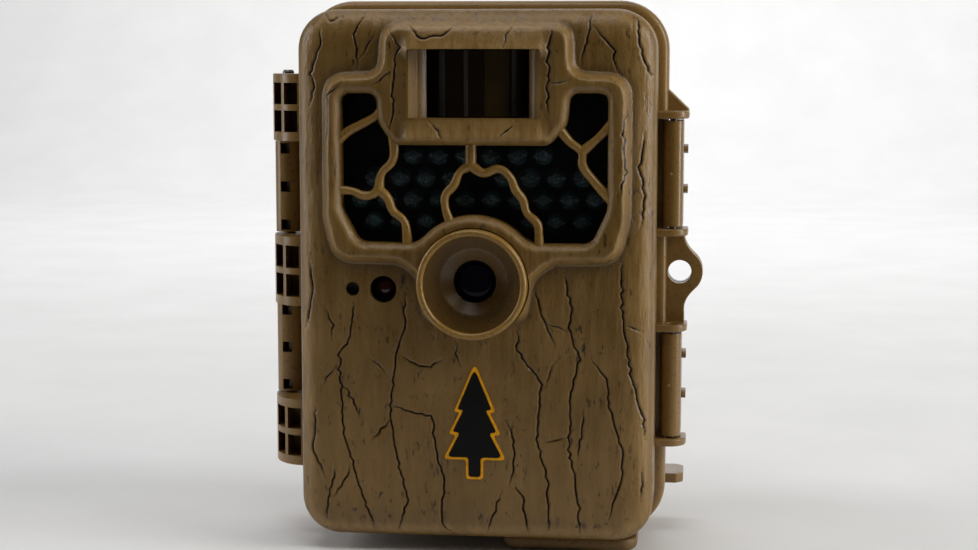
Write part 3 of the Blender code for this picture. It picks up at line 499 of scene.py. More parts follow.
share = remap(tree, row.outputs[0], 0.0, CELL_LENGTH * MM, 0.0, 1.0)
bands = ramp(tree, share, [(0.0, (0.45, 0.45, 0.46)), (0.06, (0.02, 0.03, 0.06)),
                           (0.70, (0.35, 0.37, 0.40)), (0.74, (0.05, 0.16, 0.12))])
bands.node.color_ramp.interpolation = "CONSTANT"
scuff = noise_over(tree, 0.6, 4, (1, 1, 0.3))
tree.links.new(blended(tree, remap(tree, scuff, 0.55, 0.75, 0, 0.5), bands, (0.30, 0.31, 0.32)),
               shader.inputs["Base Color"])
tree.links.new(remap(tree, scuff, 0.3, 0.7, 0.22, 0.42), shader.inputs["Roughness"])
relief(tree, shader, [(scuff, 0.01)])

tray_low, tray_high = span("battery_tray")
bm = bmesh.new()
block(bm, tray_low, tray_high)
hollow = bmesh.new()
for z0, z1 in ((tray_low.z + 1.8, 65.5), (66.1, tray_high.z - 1.8)):
    carried(hollow, rounded_plate(-30.8, 30.8, z0, z1, 1.0), 0, tray_high.y - 1.8, "y")
dress(to_object("cell_tray", bm), GREY, "case", "grey_plastic", ["battery_tray"], edge=0.35, cuts=[hollow])

for number in range(1, 9):
    low, high = span(f"battery_{number}")
    x, y = (low.x + high.x) / 2, (low.y + high.y) / 2
    radius = (high.y - low.y) / 2
    top = high.z - 1.1
    profile = [(0.02, low.z), (5.0, low.z), (5.2, low.z + 0.25), (radius - 0.5, low.z + 0.3),
               (radius, low.z + 0.7), (radius, top - 0.7), (radius - 0.5, top - 0.15), (4.6, top - 0.25),
               (3.4, top), (2.7, top + 0.1), (2.65, high.z - 0.15), (2.4, high.z), (0.02, high.z)]
    turned_piece(f"cell_{number}", "z", (x, y), profile, 48,
                 CELL_SLEEVE, "case", "cell_sleeve", [f"battery_{number}"], sharp=35)


def solid_rod(name, curve):
    """The rod that a 3-D curve sweeps, with its end caps sewn on."""
    rod = bpy.data.objects.new(f"{name}_sweep", curve)
    bpy.context.scene.collection.objects.link(rod)
    graph = bpy.context.evaluated_depsgraph_get()
    swept = bpy.data.meshes.new_from_object(rod.evaluated_get(graph))
    bpy.data.objects.remove(rod)
    bm = bmesh.new()
    bm.from_mesh(swept)
    bmesh.ops.remove_doubles(bm, verts=bm.verts, dist=0.001 * MM)
    return to_object(name, bm)


def round_wire(name, radius, roundness):
    """An empty 3-D curve that sweeps a round wire or rod."""
    made = bpy.data.curves.new(name, "CURVE")
    made.dimensions = "3D"
    made.bevel_depth = radius * MM
    made.bevel_resolution = roundness
    made.use_fill_caps = True
    return made


SPRING_WIRE_R, SPRING_TURNS, SPRING_POINTS = 0.38, 2.5, 90
SPRING_FOOT_R, SPRING_TAPER, SPRING_Y = 4.4, 1.6, 12.2
for number in range(1, 5):
    low, high = span(f"contact_spring_{number}")
    cell_low, cell_high = span(f"battery_{number}")
    wire = round_wire(f"spring_wire_{number}", SPRING_WIRE_R, 4)
    line = wire.splines.new("POLY")
    line.points.add(SPRING_POINTS)
    x, y = (cell_low.x + cell_high.x) / 2, SPRING_Y
    for i in range(SPRING_POINTS + 1):
        share = i / SPRING_POINTS
        a, r = 2 * math.pi * SPRING_TURNS * share, SPRING_FOOT_R - SPRING_TAPER * share
        z = low.z + 0.4 + (high.z - low.z - 0.8) * share
        line.points[i].co = ((x + r * math.cos(a)) * MM, (y + r * math.sin(a)) * MM, z * MM, 1)
    dress(solid_rod(f"spring_{number}", wire), STEEL, "case", "steel", [f"contact_spring_{number}"])

for name in ("contact_strip_lower", "contact_strip_upper"):
    low, high = span(name)
    bm = bmesh.new()
    block(bm, low, high)
    dress(to_object(f"{name}_plated", bm), STEEL, "case", "steel", [name], edge=0.2)
low, high = span("case_contacts")
bm = bmesh.new()
block(bm, (low.x, low.y + 0.8, low.z), high)
for x in (-40.6, -38.1, -35.6):
    block(bm, (x, low.y, low.z + 1.6), (x + 1.5, low.y + 1.2, high.z - 1.6))
dress(to_object("case_contact_pads", bm), BRASS, "case", "brass", ["case_contacts"], edge=0.2)

# ---------------------------------------------------------------------------------------
# Door rim: the moulding that the front cover drops on to. It carries the rounded bead
# that meets the case, four latch flanges and the front half of the padlock ear.
FLANGE_T = 2.0
FLANGE_Z = (25.4, 55.4, 80.2, 110.4)
LATCH_PIVOT = (49.0, -7.3)

rim = [(-0.35, 4.4), (-0.35, 0.9 - BEAD_PROUD)]
rim += [(y, inset) for inset, y in arc(1.5 - BEAD_PROUD, -2.5, 1.5, 105, 255, 8, 2.15)]
rim += [(-4.68, -0.8), (-4.68, 2.5), (-12.0, 2.55), (-12.0, 4.4)]
bm = bmesh.new()
case_loft(bm, rim, closed=True)
dress(to_object("door_rim", bm), *DOOR_BROWN, ["door_frame"], sharp=32)


def latch_drill():
    made = bmesh.new()
    round_bar(made, "z", (*LATCH_PIVOT, 20), 96, 1.3)
    return made


flange = [(44.7, -11.0)] + arc(48.3, -6.3, 4.7, -90, 0, 9) + [(53, -0.5), (44.7, -0.5)]
for number, low in enumerate(FLANGE_Z, 1):
    moulded(f"latch_flange_{number}", flange, low, low + FLANGE_T, "z", *DOOR_BROWN, edge=0.5,
            cuts=[latch_drill()])
moulded("door_padlock_ear", ear_outline(), *DOOR_LEAF, "y", *DOOR_BROWN, edge=0.35, cuts=[ear_drill()])
moulded("flange_gusset", GUSSET, *DOOR_LEAF, "y", *DOOR_BROWN, edge=0.4)

# ---------------------------------------------------------------------------------------
# Hinge: three arms of the door's moulding reach round the case's two knuckles. Each arm
# is cored out with windows that show the plain steel pin running down the middle; the pin is
# painted dark, as painted shade inside the hinge.
WINDOW_BORDER = 2.3
ARM_RIB = 0.8

for number in (0, 2, 4):
    low, high = KNUCKLE_EDGES[number] + 0.15, KNUCKLE_EDGES[number + 1] - 0.15
    arm = ([(-44.8, -14)] + arc(-47, 0, 9.9, 270, 183, 16, 14)
           + arc(HINGE_X, 0, KNUCKLE_R, 175, 30, 16) + [(-48.8, -0.4), (-44.8, -0.4)])
    windows = bmesh.new()
    middle = (low + high) / 2
    for z0, z1 in ((low + WINDOW_BORDER, middle - ARM_RIB), (middle + ARM_RIB, high - WINDOW_BORDER)):
        block(windows, (-55.5, -20, z0), (-52.7, 0.6, z1))
        block(windows, (-51.8, -20, z0), (-47.9, -4.2, z1))
    moulded(f"hinge_arm_{number}", arm, low, high, "z", *DOOR_BROWN, edge=0.3, cuts=[windows, pin_drill()])

# Painted shade: the pins' steel is coloured far darker than the bright steel, for the shade where they sit
# inside the hinge's windows and the latches' gaps.
SHADED_PIN_STEEL = bare_metal("pin_steel_painted_shade", (0.16, 0.14, 0.12), rough=0.34)


def drawn_pin(node, centre, radius, chamfer, sides):
    """A plain steel pin along z, as long as its node, with its ends broken by a chamfer."""
    low, high = span(node)
    run, rise = chamfer
    turned_piece(f"{node}_drawn", "z", centre,
                 [(0.02, low.z), (radius - run, low.z), (radius, low.z + rise),
                  (radius, high.z - rise), (radius - run, high.z), (0.02, high.z)], sides,
                 SHADED_PIN_STEEL, "door", "steel", [node], sharp=30)


drawn_pin("hinge_pin", (HINGE_X, 0), (pin_high.x - pin_low.x) / 2, (0.35, 0.4), 32)

# ---------------------------------------------------------------------------------------
# Latches: two levers on the door's right edge. Each turns on a steel pin between two
# flanges, and its arm reaches back over the keeper on the case. Two ribs give a grip.
GRIP_RIBS = {"latch_lower": (38.0, 48.6), "latch_upper": (92.0, 102.4)}
for name, ribs in GRIP_RIBS.items():
    low, high = span(name)
    lever = arc(*LATCH_PIVOT, 2.6, 75, 270, 14) + arc(*LATCH_PIVOT, 2.6, -90, 0, 10)[1:]
    lever += [(51.6, 6.4), (50.6, 7), (48.8, 7), (48.8, 4.3), (50, 4.3), (50, -4.6)]
    moulded(f"{name}_lever", lever, low.z, high.z, "z", BROWN, name, "brown_plastic", [name], edge=0.3,
            cuts=[latch_drill()])
    bm = bmesh.new()
    for z in ribs:
        carried(bm, arc(-0.6, z, 4.0, 0, 345, 23, 1.2), 51.2, 52.75, "x")
    turned(bm, "y", (48.3, (low.z + high.z) / 2),
           [(0.01, -9.8), (0.5, -9.8), (0.45, -10.0), (0.01, -10.05)], 20)
    dress(to_object(f"{name}_grip_ribs", bm), BROWN, name, "brown_plastic", edge=0.25)
    drawn_pin(name.replace("latch", "latch_pin"), LATCH_PIVOT, 1.0, (0.3, 0.3), 28)

# ---------------------------------------------------------------------------------------
# Infrared emitters: thirty smoked epoxy lamps in four staggered rows on one black board.
# Each has a round flange and a domed body, with a steel cup, a die and two leads inside.
board_low, board_high = span("ir_led_array")
LAMP_PITCH, LAMP_ROW_STEP, LAMP_TOP_Z = 6.65, 5.65, 101.4
LAMP_R, LAMP_FLANGE_R, LAMP_SHOULDER_Y, LAMP_TIP_Y = 2.1, 2.45, -23.3, -25.4
LAMP_ROWS = (
    (-2.5, -1.5, -0.5, 0.5, 1.5, 2.5),
    (-4, -3, -2, -1, 1, 2, 3, 4),
    (-4.5, -3.5, -2.5, -1.5, -0.5, 0.5, 1.5, 2.5, 3.5, 4.5),
    (-4, -3, -2, 2, 3, 4))
lamp_places = [(column * LAMP_PITCH, LAMP_TOP_Z - row * LAMP_ROW_STEP)
               for row, columns in enumerate(LAMP_ROWS) for column in columns]


def circuit_board(name, mask=(0.008, 0.055, 0.026), tinned=(0.45, 0.44, 0.40)):
    """Solder mask over copper tracks, with tinned vias showing as small bright dots."""
    made, tree, shader = new_finish(name)
    where = tree.nodes.new("ShaderNodeTexCoord")
    tracks = tree.nodes.new("ShaderNodeTexBrick")
    tracks.inputs["Scale"].default_value = 1 / (6 * MM)
    tracks.inputs["Mortar Size"].default_value = 0.03
    turn = tree.nodes.new("ShaderNodeMapping")
    turn.inputs["Rotation"].default_value = (math.radians(90), 0, 0)
    tree.links.new(where.outputs["Object"], turn.inputs["Vector"])
    tree.links.new(turn.outputs["Vector"], tracks.inputs["Vector"])
    vias = tree.nodes.new("ShaderNodeTexVoronoi")
    vias.inputs["Scale"].default_value = 1 / (3.2 * MM)
    tree.links.new(where.outputs["Object"], vias.inputs["Vector"])
    dots = remap(tree, vias.outputs["Distance"], 0.10, 0.14, 1.0, 0.0)
    copper = tuple(2.0 * c for c in mask)
    base = blended(tree, tracks.outputs["Fac"], mask, copper)
    tree.links.new(blended(tree, dots, base, tinned), shader.inputs["Base Color"])
    tree.links.new(remap(tree, noise_over(tree, 0.3), 0.3, 0.7, 0.28, 0.48), shader.inputs["Roughness"])
    relief(tree, shader, [(tracks.outputs["Fac"], 0.03)])
    return made


def clear_skin(name, colour, alpha, rough=0.06):
    """Clear or smoked moulding that lets some of what is behind show through."""
    made, tree, shader = new_finish(name)
    smear = noise_over(tree, 0.08, 4, (1, 1, 0.5))
    tree.links.new(ramp(tree, smear, [(0.3, tuple(c * 0.7 for c in colour)), (0.7, colour)]),
                   shader.inputs["Base Color"])
    tree.links.new(remap(tree, smear, 0.35, 0.75, rough, rough + 0.10), shader.inputs["Roughness"])
    shader.inputs["Alpha"].default_value = alpha
    relief(tree, shader, [(noise_over(tree, 0.5, 2), 0.004)])
    return made


BOARD_GREEN = circuit_board("green_circuit_board")
BOARD_DARK = circuit_board("dark_circuit_board", (0.003, 0.004, 0.004), (0.008, 0.009, 0.009))
EPOXY = clear_skin("smoked_epoxy", (0.22, 0.39, 0.46), 0.36, 0.03)
bm = bmesh.new()
block(bm, (board_low.x, board_high.y - 1.4, board_low.z), board_high)
barrel_gap = bmesh.new()
round_bar(barrel_gap, "y", (0, -24, 70), 10, 10.5, 48)
dress(to_object("lamp_board", bm), BOARD_DARK, "door", "circuit_board", ["ir_led_array"], edge=0.15,
      cuts=[barrel_gap])
lamp_foot = board_high.y - 1.45
bm = bmesh.new()
for place in lamp_places:
    dome = [(r, LAMP_SHOULDER_Y - t) for r, t in arc(0, 0, LAMP_R, 0, 88, 8)]
    turned(bm, "y", place, [(0.02, lamp_foot), (LAMP_FLANGE_R, lamp_foot), (LAMP_FLANGE_R, lamp_foot - 0.7),
                            (LAMP_R, lamp_foot - 0.8)] + dome + [(0.02, LAMP_TIP_Y)], 24)
dress(to_object("lamp_domes", bm), EPOXY, "door", "glass", sharp=30)
bm = bmesh.new()
for place in lamp_places:
    x, z = place
    turned(bm, "y", place, [(0.5, -20.6), (1.15, -21.6), (1.3, -21.6), (0.9, -20.3), (0.5, -20.3)], 20)
    block(bm, (x - 0.3, -21.1, z - 0.3), (x + 0.3, -20.55, z + 0.3))
    turned(bm, "y", (x + 0.55, z + 0.35),
           [(0.01, -24.4), (0.2, -24.3), (0.28, -24.1), (0.2, -23.9), (0.01, -23.8)], 10)
    for side in (-1, 1):
        lead = [(x + side * a, z + b) for a, b in ((1.35, -0.7), (2.4, -0.1), (2.4, 0.1), (1.35, 0.7))]
        carried(bm, lead, -22.0, -21.7, "y")
dress(to_object("lamp_cups", bm), STEEL, "door", "steel", sharp=30)

# ---------------------------------------------------------------------------------------
# Front cover: the bark plate, moulded in brown nylon with a raised ridge round the windows
# and cracks like old bark. The cracks are coloured near black. The high edges are painted
# pale, partly as wear and partly as painted highlight. Painted highlight also lies on the sensor
# block's sloped brow and sill and along the rounded margins, and painted shade darkens the
# foot of the ridge and the strips beside the sensor block.
# It drops over the door's rim and carries the windows and the lens from behind.
FACE_Y = -30.0
EDGE_WIDTH, EDGE_DEPTH = 8.0, 5.0
BACK_Y = cover_high.y
FLOOR_Y = -27.9
GRID = 0.3
RIDGE_HEIGHT = 3.4
SENSOR_MIDDLE = (0.8, 119.6)
LENS_PLACE = (0.0, 70.0)


def rounded_path(corners, steps=7):
    """Closed outline through (x, z, radius) corners, each rounded by its own radius."""
    points = []
    count = len(corners)
    for i, (x, z, radius) in enumerate(corners):
        here = Vector((x, z))
        before = Vector(corners[i - 1][:2]) - here
        after = Vector(corners[(i + 1) % count][:2]) - here
        bend = before.angle(after)
        reach = min(radius / math.tan(bend / 2), 0.48 * before.length, 0.48 * after.length)
        first, last = here + before.normalized() * reach, here + after.normalized() * reach
        for k in range(steps + 1):
            t = k / steps
            points.append(tuple(first * (1 - t) ** 2 + here * 2 * t * (1 - t) + last * t ** 2))
    return points


# Ridge's outer edge, from the top left corner round to the lens ring and back.
RIDGE_EDGE = rounded_path([
    (-23.3, 135.1, 6), (25.0, 135.1, 6), (25.4, 122.8, 3.2), (39.4, 122.4, 8.5), (39.3, 86, 14),
    (36.5, 74.6, 10), (20.0, 74.4, 6), (15.2, 70.5, 6), (13.2, 60, 4), (-13.0, 60, 4), (-14.2, 70.5, 6),
    (-18.6, 74.4, 6), (-35.6, 74.6, 10), (-38.3, 86, 14), (-38.2, 122.4, 8.5), (-24.2, 122.8, 3.2)])
# Opening for the infrared window, from its top left lobe round under the sensor block. Its
# lower edge arches over the lens.
lens_arch = [(x, z, 40) for x, z in arc(*LENS_PLACE, 17.1, 40, 140, 7)]
WINDOW_EDGE = rounded_path([
    (-33.2, 117.2, 2.4), (-24.2, 117.2, 2.6), (-23.8, 110.0, 5), (-19.8, 104.4, 3.4), (19.0, 104.4, 3.4),
    (23.4, 109.6, 5), (24.2, 117.3, 2.6), (33.4, 117.3, 2.4), (33.4, 88.5, 6), (29.4, 80.0, 3.5),
    (15.8, 79.9, 3), *lens_arch, (-15.2, 79.9, 3), (-28.8, 80.0, 3.5), (-33.2, 88.5, 6)])
SENSOR_EDGE = rounded_plate(-16.2, 16.9, 111.1, 128.1, 0.7, 4)
HOLES = {
    "window": WINDOW_EDGE,
    "sensor": SENSOR_EDGE,
    "lens": arc(*LENS_PLACE, 14.1, 0, 357, 119),
    "light_hole": arc(-23, 68, 3.4, 0, 352.5, 47),
    "sound_hole": arc(-30.8, 68, 1.75, 0, 348.75, 31)}

# Cracks, each a line of a few (x, z) stops from one end to the other.
CRACKS = [
    [(-39, 134), (-38.5, 130), (-41, 122), (-40, 119.5), (-41.5, 114)],
    [(-27.5, 137), (-30, 131.5), (-29, 123)],
    [(-24.5, 132), (-28.5, 126)],
    [(-37.5, 136.5), (-36.5, 135), (-33, 136)],
    [(-16, 134.5), (-12.5, 130.5), (-7, 131.5), (-4, 134)],
    [(-21, 133.5), (-18, 128.5), (-19, 125.5), (-20, 117.5), (-19.5, 113.5), (-20.5, 108)],
    [(-20, 123), (-25, 119)],
    [(-32.5, 120), (-36.5, 116.5), (-36, 111), (-37, 104)],
    [(29, 137.5), (28, 130.5), (26.5, 124.5)],
    [(29.5, 133.5), (35, 127.5), (34.5, 125.5), (36, 122)],
    [(40.5, 137.5), (40.5, 130), (44, 120.5)],
    [(20, 133.5), (18.5, 128.5), (19, 121.5), (18.5, 119.5), (19, 112)],
    [(18.5, 119.5), (24, 120.5)],
    [(10.5, 134.5), (8.5, 131.5), (8, 128.5)],
    [(-42, 75), (-41, 67), (-43, 58)],
    [(-38, 63.5), (-36, 58.5), (-36.5, 55)],
    [(-30.5, 66), (-31.5, 56), (-34.5, 51), (-33.5, 37.5), (-33.5, 31), (-29.5, 17.5), (-25.5, 6)],
    [(-35, 48.5), (-39, 43)],
    [(-34, 43.5), (-32.5, 42.5), (-29, 35)],
    [(-17.5, 67.5), (-17.5, 59), (-20, 50.5), (-21.5, 36), (-19, 22.5), (-17, 14), (-20, 5.5)],
    [(-21, 35.5), (-26.5, 29)],
    [(-26.5, 50.5), (-22, 46.5)],
    [(-18, 51), (-14, 48.5), (-11.5, 48.5), (-8, 50.5)],
    [(-4.5, 55.5), (-4.5, 52), (-3.5, 49)],
    [(-21, 38.5), (-15.5, 36.5), (-11, 36), (-10, 29), (-7.5, 18.5), (-8.5, 8), (-5, 5)],
    [(-35.5, 23), (-37.5, 14), (-38.5, 7.5)],
    [(-32, 23), (-32.5, 20), (-36.5, 14.5)],
    [(-40.5, 38), (-41.5, 26.5), (-38, 19.5)],
    [(11, 59), (11, 53), (17, 44.5), (16, 30.5), (18.5, 20), (19, 5.5)],
    [(17.5, 29.5), (23.5, 31)],
    [(15, 69), (18, 60), (20.5, 54)],
    [(18, 60), (24, 58)],
    [(20.5, 50.5), (18, 44)],
    [(22.5, 73), (24.5, 64), (24, 59), (26.5, 51), (24.5, 41.5), (24, 28), (26, 17.5), (27, 5.5)],
    [(27.5, 38.5), (27.5, 33.5), (26, 25.5)],
    [(29.5, 51.5), (33.5, 46), (34, 39), (37.5, 28), (37, 19.5), (34, 10.5)],
    [(36.5, 76), (37.5, 60), (39.5, 46.5), (42.5, 36), (43, 30.5)],
    [(37.5, 60), (42.5, 58)],
    [(8, 35.5), (10, 31), (10, 23), (9, 18.5)],
    [(7, 17), (3, 5.5)],
    [(10, 19), (12.5, 15.5), (14, 5)],
    [(42.5, 23.5), (42, 15)],
    [(38, 113), (37, 107), (38, 98), (36.5, 92)],
    [(42.5, 108), (41, 99), (42.5, 92), (41.5, 84)],
    [(-10.5, 110.3), (-8, 107), (-7.4, 105)],
    [(11, 110), (6.5, 106)]]
CRACK_WIDTH, CRACK_DEPTH, CRACK_REACH = 0.24, 0.55, 1.3
LIP_FROM_CRACK, LIP_WIDTH, LIP_HEIGHT = 0.55, 0.22, 0.06
rng = np.random.default_rng(11)


def wandering(stops, step=1.1, stray=0.20):
    """A jagged line through the stops, as a crack runs."""
    line = []
    for a, b in zip(stops, stops[1:]):
        a, b = np.array(a, float), np.array(b, float)
        parts = max(1, round(np.linalg.norm(b - a) / step))
        line += [a + (b - a) * k / parts for k in range(parts)]
    line.append(np.array(stops[-1], float))
    stray_by = rng.normal(0, stray, (len(line), 2)) * (1, 0.5)
    return [point + push for point, push in zip(line, stray_by)]


columns = np.arange(-HALF_W - 0.6, HALF_W + 0.6, GRID)
rows = np.arange(LOW - 0.6, HIGH + 0.6, GRID)
across, up = np.meshgrid(columns, rows)
nearest = np.full(across.shape, 9.0)
pull_x, pull_z, strength = np.zeros((3, *across.shape))
for stops in CRACKS:
    line = wandering(stops)
    for k, (a, b) in enumerate(zip(line, line[1:])):
        taper = min(1.0, 0.35 + 0.25 * min(k, len(line) - 2 - k)) * rng.uniform(0.75, 1.0)
        i0, i1 = np.searchsorted(rows, (min(a[1], b[1]) - CRACK_REACH, max(a[1], b[1]) + CRACK_REACH))
        j0, j1 = np.searchsorted(columns, (min(a[0], b[0]) - CRACK_REACH, max(a[0], b[0]) + CRACK_REACH))
        window = (slice(i0, i1), slice(j0, j1))
        along = b - a
        share = np.clip(((across[window] - a[0]) * along[0] + (up[window] - a[1]) * along[1])
                        / max(along @ along, 1e-6), 0, 1)
        dx = a[0] + share * along[0] - across[window]
        dz = a[1] + share * along[1] - up[window]
        gap = np.hypot(dx, dz)
        closer = gap < nearest[window]
        for whole, part in ((nearest, gap), (pull_x, dx), (pull_z, dz), (strength, taper)):
            whole[window] = np.where(closer, part, whole[window])

points = np.stack([across.ravel(), up.ravel()], 1)
on_crack = (nearest < 0.5 * GRID).ravel()
points[on_crack] += np.stack([pull_x.ravel(), pull_z.ravel()], 1)[on_crack]
crack = np.where(on_crack, 1.0, np.exp(-(nearest.ravel() / CRACK_WIDTH) ** 2)) * strength.ravel()
lip = np.exp(-((nearest.ravel() - LIP_FROM_CRACK) / LIP_WIDTH) ** 2) * strength.ravel()


def to_outline(at, outline):
    """Signed distance (positive outside) and the step that leads on to a closed outline."""
    best = np.full(len(at), 1e9)
    step = np.zeros((len(at), 2))
    inside = np.zeros(len(at), bool)
    path = np.array(outline)
    for p, q in zip(path, np.roll(path, -1, 0)):
        along = q - p
        if along @ along < 1e-9:
            continue
        rel = at - p
        share = np.clip(rel @ along / (along @ along), 0, 1)
        gap = share[:, None] * along - rel
        size = (gap ** 2).sum(1)
        closer = size < best
        best = np.where(closer, size, best)
        step[closer] = gap[closer]
        if abs(along[1]) > 1e-12:
            crosses = (p[1] > at[:, 1]) != (q[1] > at[:, 1])
            inside ^= crosses & (at[:, 0] < p[0] + (at[:, 1] - p[1]) * along[0] / along[1])
    return np.where(inside, -1, 1) * np.sqrt(best), step


GRID_INSET = 1.1
keep = np.ones(len(points), bool)
for edge, sign in [(case_outline(GRID_INSET), -1)] + [(hole, 1) for hole in HOLES.values()]:
    gap, step = to_outline(points, edge)
    snapped = np.abs(gap) < 0.55 * GRID
    points[snapped] += step[snapped]
    keep &= (sign * gap > 0) | snapped


def smooth(value):
    """Eases a 0 to 1 share in and out."""
    value = np.clip(value, 0, 1)
    return value * value * (3 - 2 * value)


WAVES = [(rng.uniform(0.25, 1.6), rng.uniform(0.02, 0.16), rng.uniform(0, 6.28), rng.uniform(0.3, 1))
         for _ in range(14)]


def edge_drop(inset):
    """How far the face falls back where it rolls over into the side walls."""
    share = 1 - np.clip(inset / EDGE_WIDTH, 0, 1)
    return EDGE_DEPTH * (1 - np.sqrt(np.clip(1 - share ** 2, 0, 1)))


def cover_face(at):
    """How far the face stands out at each (x, z), how pale it is painted there for wear and painted
    highlight, and how much painted shade darkens it.
    """
    x, z = at[:, 0], at[:, 1]
    inset = -to_outline(at, case_outline(0))[0]
    into_ridge = -to_outline(at, RIDGE_EDGE)[0]
    from_window = to_outline(at, WINDOW_EDGE)[0]
    rise = smooth(into_ridge / 2.5) ** 0.85
    ridge = RIDGE_HEIGHT * rise
    bowl = np.clip(1 - from_window / 2.2, 0, 1)
    ridge -= 1.7 * bowl ** 2 * rise
    # The block round the sensor: a sloped brow above the opening and a sloped sill below it.
    beside = smooth((x + 18.6) / 3.4) * smooth((19.3 - x) / 3.4)
    brow = smooth((134.6 - z) / 0.8) * smooth((z - 125.4) / 2.6) * np.clip((134.2 - z) / 6.0, 0, 1)
    sill = smooth((z - 104.6) / 1.6) * smooth((113.8 - z) / 2.6) * np.clip((111.4 - z) / 5.6, 0.12, 1)
    block_rise = beside * (1.55 * brow + 1.5 * sill)
    wave = sum(d * np.sin(a * x + b * z + c) for a, b, c, d in WAVES) / len(WAVES)
    height = ridge + block_rise + 0.16 * wave - edge_drop(inset)
    # Paler colour: wear and painted highlight on the ridge's crests, and painted highlight on the sensor
    # block's sloped brow and sill and in a band along the rounded margins.
    crest = np.exp(-((into_ridge - 1.9) / 0.9) ** 2) + 0.8 * np.exp(-((from_window - 0.9) / 0.7) ** 2)
    crest *= into_ridge > 0
    wear_and_highlight = 0.55 * crest + 0.9 * beside * np.clip(brow + sill, 0, 1)
    wear_and_highlight += 0.7 * np.exp(-((inset - 2.4) / 1.4) ** 2)
    shade = np.exp(-(np.clip(into_ridge, -9, 0) / 1.6) ** 2) * (into_ridge < 0.6)
    shade += 0.7 * ((np.abs(np.abs(x - 0.5) - 18.4) < 1.6) & (z > 104) & (z < 133.5))
    return height, np.clip(wear_and_highlight, 0, 1), np.clip(shade, 0, 1)


height, wear_and_highlight, shade = cover_face(points)
height = height - CRACK_DEPTH * crack + LIP_HEIGHT * lip

index = np.arange(len(points)).reshape(across.shape)
a, b, c, d = (part.ravel() for part in (index[:-1, :-1], index[:-1, 1:], index[1:, 1:], index[1:, :-1]))
slant = crack[a] + crack[c] + 0.01 * (keep[a] & keep[c]) > crack[b] + crack[d]
flip = np.where(~keep[b] | ~keep[d], True, np.where(~keep[a] | ~keep[c], False, slant))
triangles = np.concatenate([
    np.stack([a, b, c], 1)[flip], np.stack([a, c, d], 1)[flip],
    np.stack([a, b, d], 1)[~flip], np.stack([b, c, d], 1)[~flip]])
triangles = triangles[keep[triangles].all(1)]
used = np.unique(triangles)
renumber = np.full(len(points), -1)
renumber[used] = np.arange(len(used))

bm = bmesh.new()
layers = {name: bm.verts.layers.float.new(name) for name in ("crack", "wear_and_highlight", "shade")}
made = []
for i in used:
    vert = bm.verts.new((points[i, 0] * MM, (FACE_Y - height[i]) * MM, points[i, 1] * MM))
    vert[layers["crack"]], vert[layers["wear_and_highlight"]], vert[layers["shade"]] = crack[i], wear_and_highlight[i], shade[i]
    made.append(vert)
for three in renumber[triangles]:
    bm.faces.new([made[i] for i in three])


def open_loops():
    """The mesh's open edges, as loops of vertices in order."""
    following = {}
    for edge in bm.edges:
        if len(edge.link_faces) == 1:
            loop = edge.link_loops[0]
            following[loop.vert] = loop.link_loop_next.vert
    loops = []
    while following:
        first = next(iter(following))
        ring = [first]
        onward = following.pop(first)
        while onward != first:
            ring.append(onward)
            onward = following.pop(onward)
        loops.append(ring)
    return loops


def grow(ring, places, marks):
    """Adds one ring of skin after another to an open loop, and returns the last ring."""
    for row_of_places, row_of_marks in zip(places, marks):
        fresh = []
        for (x, y, z), value in zip(row_of_places, row_of_marks):
            vert = bm.verts.new((x * MM, y * MM, z * MM))
            vert[layers["crack"]] = value
            fresh.append(vert)
        for i, vert in enumerate(ring):
            j = (i + 1) % len(ring)
            bm.faces.new((ring[j], vert, fresh[i], fresh[j]))
        ring = fresh
    return ring


def crack_near(x, z):
    """How deep in a crack the face is at each (x, z)."""
    i = np.clip(np.searchsorted(rows, z), 0, len(rows) - 1)
    j = np.clip(np.searchsorted(columns, x), 0, len(columns) - 1)
    return crack.reshape(across.shape)[i, j]


